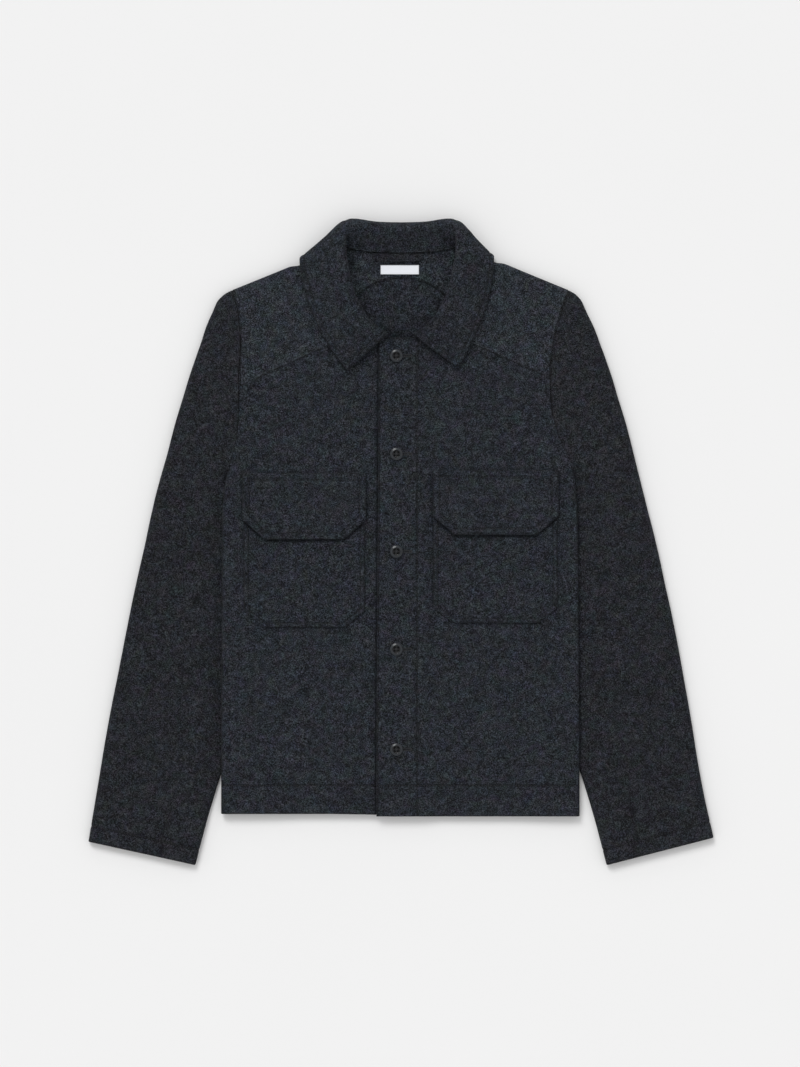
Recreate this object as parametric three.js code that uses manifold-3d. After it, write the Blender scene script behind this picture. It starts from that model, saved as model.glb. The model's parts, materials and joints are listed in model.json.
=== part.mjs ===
// A men's shirt jacket in thick boiled wool, buttoned and laid flat on its back with the arms down.
// Millimetres. +X is the wearer's left, +Y runs from hem to collar, +Z is up off the surface under it.
// The origin is on that surface, under the middle of the garment. Right and left are the wearer's.
import * as THREE from "three";
import { mergeVertices } from "three/addons/utils/BufferGeometryUtils.js";
import Module from "manifold-3d";

// Cloth
const CLOTH = 2.2; // one ply of boiled wool
const COLLAR_CLOTH = 3.6; // two plies, bagged out
const POCKET_CLOTH = 2.0;
const FLAP_CLOTH = 2.8; // two plies
const SEAM = 0.34; // clearance between pieces that are sewn or lie on each other
const ARMHOLE_GAP = 0.56; // more there, as the two edges curve
const HALF = CLOTH / 2;

// How the layers lie, as heights of the middle of the cloth
const FLOOR_LAYER = HALF;
const FRONT_HEIGHT = 10.4;
const FRONT_SIDE_RISE = 2.1; // where the front lies over the tucked sleeve
const FRONT_NECK_RISE = 2.0;
const HEM_DROOP = 1.4;
const SLEEVE_HEIGHT = 9.0; // top layer of a sleeve that nothing presses
const CUFF_DROOP = 0.4;
const PRESSED_SLEEVE = 4.7; // top layer of a sleeve under the body
const BACK_OVER_SLEEVE = 6.4;
const BACK_OVER_COLLAR = 4.9;
const COLLAR_TUCK = 3; // how far the shoulder fold stands in where the collar wraps round it
const OVERLAP_STEP = CLOTH + SEAM; // the upper front over the lower one

// Front opening: the left front buttons over the right one
const EDGE_TOP_X = -26.3;
const EDGE_HEM_X = -29.0;
const UNDER_FRONT_X = 18;
const STEP_FROM = 22;
const STEP_TO = 46;
const HEM_Y = { right: -320.5, left: -323.3 };

// Outline of the body from hem to shoulder tip, as distances out from the centre line.
// Up to UNDERARM_Y it is the side fold, and above it the armhole seam.
const UNDERARM_Y = 85;
const SHOULDER_TIP_Y = 297;
const BODY = [
  { y: -324, right: 212.0, left: 210.5 },
  { y: -200, right: 211.8, left: 210.2 },
  { y: -60, right: 211.2, left: 209.2 },
  { y: 20, right: 210.8, left: 208.4 },
  { y: 55, right: 209.0, left: 206.6 },
  { y: 85, right: 204.0, left: 203.0 },
  { y: 110, right: 197.0, left: 192.0 },
  { y: 135, right: 192.5, left: 183.0 },
  { y: 165, right: 191.0, left: 176.8 },
  { y: 195, right: 191.0, left: 175.6 },
  { y: 228, right: 189.0, left: 178.6 },
  { y: 260, right: 190.5, left: 185.0 },
  { y: 285, right: 195.5, left: 192.5 },
  { y: 297, right: 199.0, left: 197.5 },
];

// Neckline of the fronts, from the centre line out to the front yoke seam
const THROAT = [
  { out: 0, y: 241.0 },
  { out: 16, y: 242.0 },
  { out: 38, y: 254.0 },
];

// Front yoke seam, from the neckline to the armhole
const YOKE_SEAM = {
  right: [
    { out: 38, y: 254.0 },
    { out: 192, y: 182.6 },
  ],
  left: [
    { out: 38, y: 254.0 },
    { out: 176, y: 193.3 },
  ],
};

// Back yoke seam: an arch that peaks at the centre back
const ARCH = [
  { out: 0, y: 313.2 },
  { out: 25, y: 308.4 },
  { out: 53, y: 291.0 },
  { out: 90, y: 268.5 },
  { out: 130, y: 246.5 },
  { out: 192, y: 216.0 },
];

// Under the back yoke lies the fall of the collar, down to this edge
const COLLAR_UNDER = [
  { out: 0, y: 275 },
  { out: 48, y: 278 },
  { out: 88, y: 291 },
  { out: 112, y: 310 },
  { out: 124, y: 326 },
  { out: 136, y: 350 },
];

// Collar sections from the front end round to the centre back: the neckline seam (out, y), the top of
// the stand, where the fall turns down and where it bends (out, y, height), its free edge on each side.
const COLLAR = [
  { neck: [16, 242], stand: [15.5, 244, 19.6], turn: [21, 239, 21.0], bend: [0.5, 18.6],
    right: [63, 202.2], left: [65.5, 205.6], edgeZ: 15.8 },
  { neck: [38, 254], stand: [34, 257.5, 22.4], turn: [40, 252.5, 24.2], bend: [0.5, 20.2],
    right: [72, 212.6], left: [72, 212.4], edgeZ: 15.6 },
  { neck: [52, 276], stand: [48, 277, 25.0], turn: [55.5, 273, 26.8], bend: [0.5, 21.6],
    right: [84, 230.5], left: [81, 231.5], edgeZ: 15.6 },
  { neck: [61, 300], stand: [57.5, 299, 27.2], turn: [66, 297, 28.6], bend: [0.5, 22.6],
    right: [98.5, 257], left: [92.5, 257], edgeZ: 15.8 },
  { neck: [66, 324], stand: [63, 322, 28.4], turn: [72.5, 322, 29.2], bend: [0.5, 23.0],
    right: [110, 288], left: [102.5, 286], edgeZ: 16.0 },
  { neck: [68.5, 339], stand: [66, 342, 28.0], turn: [76, 345, 28.0], bend: [0.5, 22.4],
    right: [116.5, 312], left: [107.5, 311], edgeZ: 15.8 },
  { neck: [69, 347], stand: [66.5, 357, 26.8], turn: [76, 360, 24.6], bend: [0.5, 19.6],
    right: [119.2, 325], left: [109.2, 325], edgeZ: 15.6 },
  { neck: [67, 350.5], stand: [66, 366, 24.6], turn: [72, 371.5, 18.4], bend: [0.42, 13.4],
    right: [118.4, 333.2], left: [109.0, 334.8], edgeZ: 9.2 },
  { neck: [62, 347.5], stand: [61.5, 372, 22.6], turn: [64.5, 377.4, 12.5], bend: [0.3, 5.0],
    right: [113.5, 328], left: [105, 328], edgeZ: 2.6 },
  { neck: [55, 345.5], stand: [54, 374, 21.4], turn: [56, 379.2, 10.6], bend: [0.16, 2.2],
    right: [103, 313], left: [98, 314], edgeZ: 2.0 },
  { neck: [46, 343.6], stand: [45, 374, 20.8], turn: [46, 378.1, 10.2], bend: [0.13, 2.0],
    right: [80, 295], left: [77, 295], edgeZ: 2.0 },
  { neck: [25, 341.6], stand: [24.5, 372, 20.0], turn: [25, 375.2, 10], bend: [0.12, 2.0],
    right: [44, 281], left: [43, 281], edgeZ: 2.0 },
  { neck: [0, 340.8], stand: [0, 371.2, 19.6], turn: [0, 374.6, 10], bend: [0.12, 2.0],
    right: [0, 276], left: [0, 276], edgeZ: 2.0 },
];
const YOKE_STATION = 1; // collar section where the front yoke seam meets the neckline
const SHOULDER_STATION = 7; // collar section on the shoulder fold
const BACK_STATION = COLLAR.length - 1;

// Sleeve sections from armhole to cuff: the outer fold on each side, and the underarm fold, which is
// tucked under the body for most of its length
const SLEEVE = [
  { at: 0, right: [199, 297], left: [197.5, 297], inner: [205, 84.8] },
  { at: 0.012, right: [210.8, 290], left: [208.3, 290], inner: [205.8, 82] },
  { at: 0.027, right: [222.0, 272], left: [218.7, 272], inner: [206.2, 78.5] },
  { at: 0.05, right: [236.2, 235], left: [234.8, 235], inner: [206.7, 73] },
  { at: 0.1, right: [256.5, 173], left: [255.3, 173], inner: [206.2, 60] },
  { at: 0.17, right: [268.7, 131], left: [267.6, 131], inner: [199, 42] },
  { at: 0.25, right: [275.5, 104], left: [274.3, 104], inner: [191.5, 20] },
  { at: 0.33, right: [284.7, 72], left: [282.3, 72], inner: [182, -6] },
  { at: 0.41, right: [293.2, 38], left: [290.8, 38], inner: [174, -38] },
  { at: 0.5, right: [302.4, -5], left: [301.6, -5], inner: [168, -78] },
  { at: 0.58, right: [312.6, -50], left: [311.4, -50], inner: [166.5, -115] },
  { at: 0.66, right: [322.9, -100], left: [322.2, -100], inner: [173, -155] },
  { at: 0.74, right: [333.6, -155], left: [332.4, -155], inner: [186, -200] },
  { at: 0.82, right: [345.2, -214], left: [342.8, -214], inner: [203, -248] },
  { at: 0.9, right: [355.5, -275], left: [352.8, -275], inner: [220.4, -300] },
  { at: 1, right: [368.6, -353.4], left: [368.6, -348.6], inner: [242.5, -381] },
];
const ARMHOLE_REACH = 0.25; // how far down the sleeve the curve of the armhole still shows

// Chest pockets: corners as x and y, and the cut corners
const POCKETS = {
  right: { from: -185.3, to: -42.6, top: 66, bottom: -100.6, cutX: 23, cutY: 20 },
  left: { from: 37.8, to: 184.4, top: 70, bottom: -95.4, cutX: 23, cutY: 18 },
};
const FLAPS = {
  right: { from: -186.8, to: -41.2, top: 81.4, bottom: 3.2, cutX: 26, cutY: 23 },
  left: { from: 37.4, to: 185.6, top: 84.8, bottom: 8.4, cutX: 26, cutY: 22 },
};
const FLAP_LIFT = 1.3; // its free edge stands off the pocket

// Small pieces
const BUTTON = {
  x: -5.4, ys: [219.5, 103.8, -11.2, -126.3, -244.3], radius: 7.7, thick: 3.2, well: 4.7, wellDeep: 1.2,
};
const BUTTON_HOLE = { radius: 0.95, spread: 1.75 };
const LOOP = { from: -34, to: 26, y: 335, dip: 7, width: 10, thick: 1.6, rise: 1.4 };
const LABEL = { x: -1.5, y: 320.9, width: 45.4, height: 11.0, thick: 0.8 };

// Steps along and across the pieces
const STEPS = { sideRows: 11, backTopRows: 7, neckToArmhole: 9, collar: 36 };
const SLEEVE_RINGS = [
  0, 0.012, 0.027, 0.05, 0.075, 0.1, 0.135, 0.17, 0.21, 0.25,
  0.33, 0.41, 0.5, 0.58, 0.66, 0.74, 0.82, 0.9, 1,
];
const FRONT_TOP_SHARES = [0.24, 0.5, 0.78, 1]; // rows from the underarm to the yoke seam
const YOKE_SHARES = [0, 0.2, 0.42, 0.64, 0.84]; // rows from the yoke seam towards the shoulder fold
const BACK_YOKE_ROWS = 4; // rows from the shoulder tip down to the back yoke seam
const FLAT = { frontRight: 10, frontLeft: 13, back: 9 }; // columns from the centre to the side fold
const ROLL = [30, 60, 90]; // degrees round a fold, from the flat of the cloth to the seam

const mix = (a, b, t) => a + (b - a) * t;
const clamp = (v, lo, hi) => Math.min(Math.max(v, lo), hi);
const rad = (degrees) => (degrees * Math.PI) / 180;
const range = (n) => Array.from({ length: n + 1 }, (_, i) => i / n);
function smooth(from, to, v) {
  const t = clamp((v - from) / (to - from), 0, 1);
  return t * t * (3 - 2 * t);
}

// A smooth value through a table's rows that never overshoots them (monotone cubic).
function through(keys, values, at) {
  const last = keys.length - 1;
  const x = clamp(at, keys[0], keys[last]);
  let i = 0;
  while (i < last - 1 && x > keys[i + 1]) i++;
  const slope = (k) => (values[k + 1] - values[k]) / (keys[k + 1] - keys[k]);
  const tangent = (k) => {
    if (k === 0) return slope(0);
    if (k === last) return slope(last - 1);
    const [before, after] = [slope(k - 1), slope(k)];
    return before * after <= 0 ? 0 : (2 * before * after) / (before + after);
  };
  const width = keys[i + 1] - keys[i];
  const t = (x - keys[i]) / width;
  const a = values[i] + t * width * tangent(i);
  const b = values[i + 1] - (1 - t) * width * tangent(i + 1);
  return mix(a, b, t * t * (3 - 2 * t));
}
function lookUp(rows, key, column, at) {
  return through(rows.map((r) => r[key]), rows.map((r) => r[column]), at);
}

const bodyEdge = (side, y) => lookUp(BODY, "y", side, y);
const collarUnderY = (out) => lookUp(COLLAR_UNDER, "out", "y", Math.min(out, 135));
const archY = (out) => lookUp(ARCH, "out", "y", out);

// The underarm fold of the sleeve at a height y, for what lies over it
const SLEEVE_UP = [...SLEEVE].reverse();
const UNDERARM_YS = SLEEVE_UP.map((r) => r.inner[1]);
const UNDERARM_XS = SLEEVE_UP.map((r) => r.inner[0]);
const underarmFold = (y) => through(UNDERARM_YS, UNDERARM_XS, y);

// Heights of the middle of the cloth
function frontHeight(x, y) {
  const out = Math.abs(x);
  const side = FRONT_SIDE_RISE * smooth(110, 190, out) * (1 - smooth(40, 100, y));
  const neck = FRONT_NECK_RISE * smooth(240, 330, y) * (1 - smooth(100, 150, out));
  const hem = HEM_DROOP * (1 - smooth(-322, -250, y));
  return FRONT_HEIGHT + side + neck - hem;
}
function upperFrontHeight(x, y) {
  return frontHeight(x, y) + OVERLAP_STEP * (1 - smooth(STEP_FROM, STEP_TO, x));
}
function backHeight(x, y) {
  const out = Math.abs(x);
  const fold = underarmFold(y);
  const overSleeve = BACK_OVER_SLEEVE * smooth(fold - 30, fold - 3, out) * (1 - smooth(64, 88, y));
  const under = collarUnderY(out);
  const overCollar = BACK_OVER_COLLAR * smooth(under - 44, under - 12, y);
  return FLOOR_LAYER + overSleeve + overCollar;
}
// The highest cloth that the collar is sewn to or lies on
function topHeight(x, y) {
  const step = x < 0 ? 1 - smooth(30, STEP_TO, -x) : 1 - smooth(STEP_FROM, STEP_TO, x);
  return frontHeight(x, y) + OVERLAP_STEP * step;
}
function sleeveHeight(side, out, y) {
  const edge = bodyEdge(side, y);
  const low = mix(PRESSED_SLEEVE, SLEEVE_HEIGHT, smooth(edge + 2, edge + 40, out));
  const cuff = CUFF_DROOP * (1 - smooth(-380, -300, y));
  return mix(low, FRONT_HEIGHT, smooth(66, 98, y)) - cuff;
}

// A closed solid: a sheet of points, given its thickness along its normals. A ring closes on itself,
// and the lines of a rolled sheet end on an even curve, which sets the slant of its edge.
function clothSolid(lines, thick, { ring = false, rolled = false } = {}) {
  const rows = lines.length;
  const cols = lines[0].length;
  const past = (a, b, c) => a.clone().sub(b).multiplyScalar(3).add(c);
  const at = (i, j) => {
    const c = ring ? (j + cols) % cols : clamp(j, 0, cols - 1);
    if (rolled && i < 0) return past(lines[0][c], lines[1][c], lines[2][c]);
    if (rolled && i >= rows) return past(lines[rows - 1][c], lines[rows - 2][c], lines[rows - 3][c]);
    return lines[clamp(i, 0, rows - 1)][c];
  };
  const positions = [];
  const faces = [1, -1];
  for (const face of faces)
    for (let i = 0; i < rows; i++)
      for (let j = 0; j < cols; j++) {
        const down = at(i + 1, j).clone().sub(at(i - 1, j));
        const across = at(i, j + 1).clone().sub(at(i, j - 1));
        const normal = down.cross(across).normalize();
        positions.push(...at(i, j).clone().addScaledVector(normal, (face * thick) / 2).toArray());
      }
  const index = [];
  const layer = rows * cols;
  const id = (face, i, j) => (face < 0 ? layer : 0) + i * cols + ((j + cols) % cols);
  const quad = (a, b, c, d) => index.push(a, b, c, a, c, d);
  const lastCol = ring ? cols : cols - 1;
  for (let i = 0; i < rows - 1; i++)
    for (let j = 0; j < lastCol; j++) {
      quad(id(1, i, j), id(1, i + 1, j), id(1, i + 1, j + 1), id(1, i, j + 1));
      quad(id(-1, i, j), id(-1, i, j + 1), id(-1, i + 1, j + 1), id(-1, i + 1, j));
    }
  for (let j = 0; j < lastCol; j++) {
    quad(id(1, 0, j), id(1, 0, j + 1), id(-1, 0, j + 1), id(-1, 0, j));
    const e = rows - 1;
    quad(id(1, e, j), id(-1, e, j), id(-1, e, j + 1), id(1, e, j + 1));
  }
  if (!ring)
    for (let i = 0; i < rows - 1; i++) {
      quad(id(1, i, 0), id(-1, i, 0), id(-1, i + 1, 0), id(1, i + 1, 0));
      const e = cols - 1;
      quad(id(1, i, e), id(1, i + 1, e), id(-1, i + 1, e), id(-1, i, e));
    }
  return facingOut(positions, index);
}

function facingOut(positions, index) {
  let volume = 0;
  const p = (k) => new THREE.Vector3().fromArray(positions, 3 * k);
  for (let k = 0; k < index.length; k += 3)
    volume += p(index[k]).dot(p(index[k + 1]).cross(p(index[k + 2])));
  if (volume < 0) index.reverse();
  return new THREE.BufferGeometry()
    .setAttribute("position", new THREE.Float32BufferAttribute(positions, 3))
    .setIndex(index);
}

// Columns from a place out to the side fold, then round it: share of the flat, and degrees.
const towardsFold = (shares) => [...shares.map((s) => [s, 0]), ...ROLL.map((turn) => [1, turn])];

// A point of a body panel beside its side fold. Above the underarm the edge is a flat seam.
function besideFold(sign, y, start, [share, turn], height, other) {
  const side = sign < 0 ? "right" : "left";
  const folded = 1 - smooth(UNDERARM_Y, UNDERARM_Y + 7, y);
  const edge = sign * (bodyEdge(side, y) - mix(SEAM / 2, HALF, folded));
  const own = height(edge, y);
  const middle = (own + other(edge, y)) / 2;
  const radius = Math.abs(own - middle);
  if (turn === 0) {
    const flatEnd = edge - sign * radius;
    const placed = typeof share === "function";
    const x = placed ? sign * share(y, Math.abs(flatEnd)) : mix(start, flatEnd, share);
    return new THREE.Vector3(x, y, height(x, y));
  }
  const rolled = radius * (1 - Math.sin(rad(turn)));
  const flat = radius * (1 - turn / 90);
  const x = edge - sign * mix(flat, rolled, folded);
  const gap = (SEAM / 2) * Math.sign(own - middle) * smooth(60, 90, turn);
  const drop = (own - middle) * (1 - Math.cos(rad(turn))) - gap;
  return new THREE.Vector3(x, y, height(x, y) - drop * folded);
}

// Heights of the rows of a body panel's column: the front's and the back's match up to the underarm
function rowPlaces(hem, top, shares) {
  const below = range(STEPS.sideRows).map((s) => mix(hem, UNDERARM_Y, s));
  return [...below, UNDERARM_Y + 7, ...shares.map((s) => mix(UNDERARM_Y + 7, top, s))];
}
const BACK_TOP_SHARES = range(STEPS.backTopRows).slice(1).map((s) => 1 - (1 - s) ** 1.5);
function topOf(place, edgeAt, start) {
  let top = start;
  for (let k = 0; k < 14; k++) top = mix(top, edgeAt(place(top).x), 0.7);
  return top;
}

// Top edge of a front at x: the neckline, then the yoke seam
function frontTop(sign, x) {
  const rows = x * sign > 38 ? YOKE_SEAM[sign < 0 ? "right" : "left"] : THROAT;
  return lookUp(rows, "out", "y", Math.abs(x)) - SEAM / 2;
}

function frontPanel(sign) {
  const side = sign < 0 ? "right" : "left";
  const height = sign < 0 ? frontHeight : upperFrontHeight;
  const inner = (y) => (sign < 0 ? UNDER_FRONT_X : mix(EDGE_HEM_X, EDGE_TOP_X, smooth(-323, 240, y)));
  const line = (step) => {
    const place = (y) => besideFold(sign, y, inner(y), step, height, backHeight);
    const top = topOf(place, (x) => frontTop(sign, x), 200);
    return rowPlaces(HEM_Y[side], top, FRONT_TOP_SHARES).map(place);
  };
  const steps = towardsFold(range(sign > 0 ? FLAT.frontLeft : FLAT.frontRight));
  const lines = steps.map(line);
  return clothSolid(lines, CLOTH, { rolled: true });
}

// The back's columns are closest where it climbs over the tucked sleeve, just inside the underarm fold
function backColumn(k) {
  return (y, flatEnd) => {
    const climb = Math.min(underarmFold(y) - 32, flatEnd - 38);
    const outs = [0, climb * 0.36, climb * 0.7, climb, climb + 10, climb + 19, climb + 30];
    const rest = (flatEnd - outs[6]) / (FLAT.back - 6);
    return k <= 6 ? outs[k] : outs[6] + rest * (k - 6);
  };
}
const backSteps = () => towardsFold(range(FLAT.back).map((_, k) => backColumn(k)));
const backPlace = (sign, step) => (y) => besideFold(sign, y, 0, step, backHeight, frontHeight);
const archEdge = (x) => archY(Math.abs(x)) - SEAM / 2;

function backPanel() {
  const line = (sign) => (step) => {
    const place = backPlace(sign, step);
    const top = topOf(place, archEdge, 250);
    const hem = HEM_Y[sign < 0 ? "right" : "left"];
    const middle = (HEM_Y.right + HEM_Y.left) / 2;
    const share = smooth(0, 120, Math.abs(place(hem).x));
    return rowPlaces(mix(middle, hem, share), top, BACK_TOP_SHARES).map(place);
  };
  const right = backSteps().map(line(-1)).reverse();
  return clothSolid([...right, ...backSteps().slice(1).map(line(1))], CLOTH, { rolled: true });
}

// Where the columns of the back meet the back yoke seam, from the centre out
function seamPlaces(sign) {
  return backSteps().map((step) => {
    const place = backPlace(sign, step);
    const p = place(topOf(place, archEdge, 250));
    return [p.x, p.y];
  });
}

// Collar sections as smooth curves round the neck. station runs from the front end to the centre back.
const STATIONS = COLLAR.map((_, i) => i);
const collarValue = (pick, station) => through(STATIONS, COLLAR.map(pick), station);
function neckline(sign, station) {
  const out = collarValue((r) => r.neck[0], station);
  return [sign * out, collarValue((r) => r.neck[1], station)];
}

// Half of the yoke, from the front seam over the shoulder fold to the centre back. It folds on the line
// from the neckline to the shoulder tip, so it needs no shoulder seam.
function yokeHalf(sign) {
  const side = sign < 0 ? "right" : "left";
  const tip = [sign * bodyEdge(side, SHOULDER_TIP_Y), SHOULDER_TIP_Y];
  const neck = neckline(sign, SHOULDER_STATION);
  const along = [tip[0] - neck[0], tip[1] - neck[1]];
  const length = Math.hypot(...along);
  const up = [(-along[1] / length) * sign, (along[0] / length) * sign];
  // The collar wraps round the fold, so there the fold stands in by the collar's thickness
  const reach = COLLAR[SHOULDER_STATION][side][0];
  const underCollar = (p) => COLLAR_TUCK * (1 - smooth(reach, reach + 14, Math.abs(p[0])));
  const foldGap = (p) => (neck[0] - p[0]) * up[0] + (neck[1] - p[1]) * up[1] - HALF - underCollar(p);
  const seam = YOKE_SEAM[side];
  const corner = lookUp(seam, "out", "y", bodyEdge(side, seam[1].y));
  const seamEdge = (y) => sign * (bodyEdge(side, y) - SEAM / 2);
  // Share 0 is the seam and share 1 the shoulder fold, on the front and on the back
  const front = (share, j) => {
    const station = mix(YOKE_STATION, SHOULDER_STATION, share);
    const inner = neckline(sign, station);
    const y = mix(corner, SHOULDER_TIP_Y, share);
    const straight = [mix(inner[0], seamEdge(y), j), mix(inner[1], y, j)];
    const lift = SEAM * (1 - share);
    return [straight[0], straight[1] + lift];
  };
  // The back's outer edge: down the armhole to the corner, then along the back panel's own seam places
  const places = seamPlaces(sign);
  const corner2 = places[places.length - 1];
  const armhole = range(BACK_YOKE_ROWS).map((k) => mix(SHOULDER_TIP_Y, corner2[1] + SEAM, k));
  const arch = [corner2, ...places.slice(0, -ROLL.length).reverse()];
  const outerBack = [
    ...armhole.slice(0, -1).map((y) => [seamEdge(y), y]),
    ...arch.map(([x, y]) => [x, y + 2.3 * SEAM]),
  ];
  const backCount = outerBack.length - 1;
  const back = (share, j) => {
    const from = (1 - share) * backCount;
    const k = Math.min(Math.floor(from), backCount - 1);
    const outer = [0, 1].map((c) => mix(outerBack[k][c], outerBack[k + 1][c], from - k));
    const inner = neckline(sign, mix(SHOULDER_STATION, BACK_STATION, (1 - share) ** 1.25));
    return [mix(inner[0], outer[0], j), mix(inner[1], outer[1], j)];
  };
  const atGap = (layer, j, gap) => {
    let [lo, hi] = [0.2, 1];
    for (let k = 0; k < 30; k++) {
      const share = (lo + hi) / 2;
      if (foldGap(layer(share, j)) > gap) lo = share;
      else hi = share;
    }
    return layer(lo, j);
  };
  const flatLine = (layer, height, share) => (j) => {
    const fold = layer(1, j);
    const radius = (frontHeight(...fold) - backHeight(...fold)) / 2;
    let [lo, hi] = [0, 1];
    for (let k = 0; k < 30; k++) {
      const s = (lo + hi) / 2;
      if (foldGap(layer(s, j)) > radius) lo = s;
      else hi = s;
    }
    const p = layer(share === 1 ? lo : Math.min(share, lo), j);
    return new THREE.Vector3(p[0], p[1], height(...p));
  };
  // On the back the first lines give way to the roll; the others keep the seam's own places
  const backFlat = (k) => (j) => {
    const fold = back(1, j);
    const radius = (frontHeight(...fold) - backHeight(...fold)) / 2;
    const p = back(1 - k / backCount, j);
    const q = foldGap(p) < radius + 0.6 * k ? atGap(back, j, radius + 0.6 * k) : p;
    return new THREE.Vector3(q[0], q[1], backHeight(...q));
  };
  const rollLine = (turn) => (j) => {
    const layer = turn <= 90 ? front : back;
    const fold = layer(1, j);
    const [high, low] = [frontHeight(...fold), backHeight(...fold)];
    const radius = (high - low) / 2;
    const p = atGap(layer, j, radius * (1 - Math.sin(rad(turn))));
    return new THREE.Vector3(p[0], p[1], (high + low) / 2 + radius * Math.cos(rad(turn)));
  };
  const across = range(STEPS.neckToArmhole);
  const lines = YOKE_SHARES.map((share) => across.map(flatLine(front, frontHeight, share)));
  lines.push(across.map(flatLine(front, frontHeight, 1)));
  for (const turn of [30, 60, 90, 120, 150]) lines.push(across.map(rollLine(turn)));
  for (let k = 0; k <= backCount; k++) lines.push(across.map(backFlat(k)));
  return lines;
}

function yoke() {
  const left = yokeHalf(1).reverse();
  return clothSolid([...yokeHalf(-1), ...left.slice(1)], CLOTH);
}

// Heights of the places where the rows of the body's pieces meet the armhole, from the shoulder down
function armholeRows(sign) {
  const side = sign < 0 ? "right" : "left";
  const seam = YOKE_SEAM[side];
  const corner = lookUp(seam, "out", "y", bodyEdge(side, seam[1].y));
  const low = UNDERARM_Y + 7;
  const yoke = [...YOKE_SHARES].reverse().map((s) => mix(corner, SHOULDER_TIP_Y, s));
  const front = [...FRONT_TOP_SHARES].reverse().slice(1).map((s) => mix(low, corner, s));
  const places = seamPlaces(sign);
  const backCorner = places[places.length - 1][1];
  const backYoke = range(BACK_YOKE_ROWS).slice(1).map((s) => mix(SHOULDER_TIP_Y, backCorner, s));
  const back = [...BACK_TOP_SHARES].reverse().slice(1).map((s) => mix(low, backCorner, s));
  return { top: [...yoke, ...front], bottom: [...backYoke, ...back] };
}

// A sleeve is a tube, flat but for its two folds. Its top ring follows the armhole.
function sleeve(sign) {
  const side = sign < 0 ? "right" : "left";
  const value = (pick, at) => through(SLEEVE.map((r) => r.at), SLEEVE.map(pick), at);
  const foldPoint = (column, s) => {
    const [out, y] = [0, 1].map((c) => value((r) => r[column][c], s));
    if (column === side) return [out, y];
    return [out + (bodyEdge(side, y) - bodyEdge("right", y)) * (1 - smooth(0.08, 0.25, s)), y];
  };
  const rows = armholeRows(sign);
  // The way into the sleeve from a fold: along the armhole at first, then square to the fold
  const inward = (column, s, chord) => {
    const [a, b] = [foldPoint(column, Math.max(s - 0.02, 0)), foldPoint(column, Math.min(s + 0.02, 1))];
    const along = [b[0] - a[0], b[1] - a[1]];
    const flip = Math.sign(-along[1] * chord[0] + along[0] * chord[1]);
    const size = Math.hypot(...along);
    const square = [(-along[1] * flip) / size, (along[0] * flip) / size];
    const share = smooth(0, 0.05, s);
    const way = [mix(chord[0], square[0], share), mix(chord[1], square[1], share)];
    const length = Math.hypot(...way);
    return [way[0] / length, way[1] / length];
  };
  const ringLine = (s) => {
    const fade = clamp(1 - s / ARMHOLE_REACH, 0, 1) ** 2;
    const outer = foldPoint(side, s);
    const inner = foldPoint("inner", s);
    const chord = [inner[0] - outer[0], inner[1] - outer[1]];
    const length = Math.hypot(...chord);
    const unit = [chord[0] / length, chord[1] / length];
    const back = [-unit[0], -unit[1]];
    // The armhole's curve, less and less of it down the sleeve
    const bent = (p, share) => {
      const y = mix(SHOULDER_TIP_Y, UNDERARM_Y, share);
      const straight = mix(bodyEdge(side, SHOULDER_TIP_Y), bodyEdge(side, UNDERARM_Y), share);
      return [p[0] + (bodyEdge(side, y) - straight + ARMHOLE_GAP - SEAM / 2) * fade, p[1]];
    };
    const join = 1 - smooth(0, 0.03, s);
    const topAt = ([out, y]) => mix(sleeveHeight(side, out, y), frontHeight(out, y), join);
    const low = FLOOR_LAYER;
    const foldAt = (corner, way, atOuter) => {
      const high = topAt(corner);
      const radius = (high - low) / 2;
      const place = (far) => {
        const share = atOuter ? far / length : 1 - far / length;
        return bent([corner[0] + way[0] * far, corner[1] + way[1] * far], share);
      };
      const roll = (turn) => {
        const q = place(HALF + radius * (1 - Math.sin(rad(turn))));
        return new THREE.Vector3(sign * q[0], q[1], (high + low) / 2 + radius * Math.cos(rad(turn)));
      };
      return { far: HALF + radius, way, corner, roll };
    };
    const outerFold = foldAt(outer, inward(side, s, unit), true);
    const innerFold = foldAt(inner, inward("inner", s, back), false);
    const end = ({ corner, way, far }) => [corner[0] + way[0] * far, corner[1] + way[1] * far];
    const [from, to] = [end(outerFold), end(innerFold)];
    const [first, last] = [outerFold.far / length, 1 - innerFold.far / length];
    const span = (y) => (SHOULDER_TIP_Y - y) / (SHOULDER_TIP_Y - UNDERARM_Y);
    const between = (y) => mix(first, last, clamp((span(y) - 0.027) / 0.946, 0, 1));
    const flat = (ys, height) => {
      return [first, ...ys.map(between), last].map((share) => {
        const t = (share - first) / (last - first);
        const q = bent([mix(from[0], to[0], t), mix(from[1], to[1], t)], share);
        return new THREE.Vector3(sign * q[0], q[1], height(q));
      });
    };
    const top = flat(rows.top, topAt);
    const bottom = flat(rows.bottom, () => low).reverse();
    const inside = [45, 90, 135].map(innerFold.roll);
    const outside = [135, 90, 45].map(outerFold.roll);
    return [...top, ...inside, ...bottom, ...outside];
  };
  const folds = rows.top.length + 2;
  return clothSolid(eased(SLEEVE_RINGS.map(ringLine), folds), CLOTH, { ring: true });
}

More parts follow.
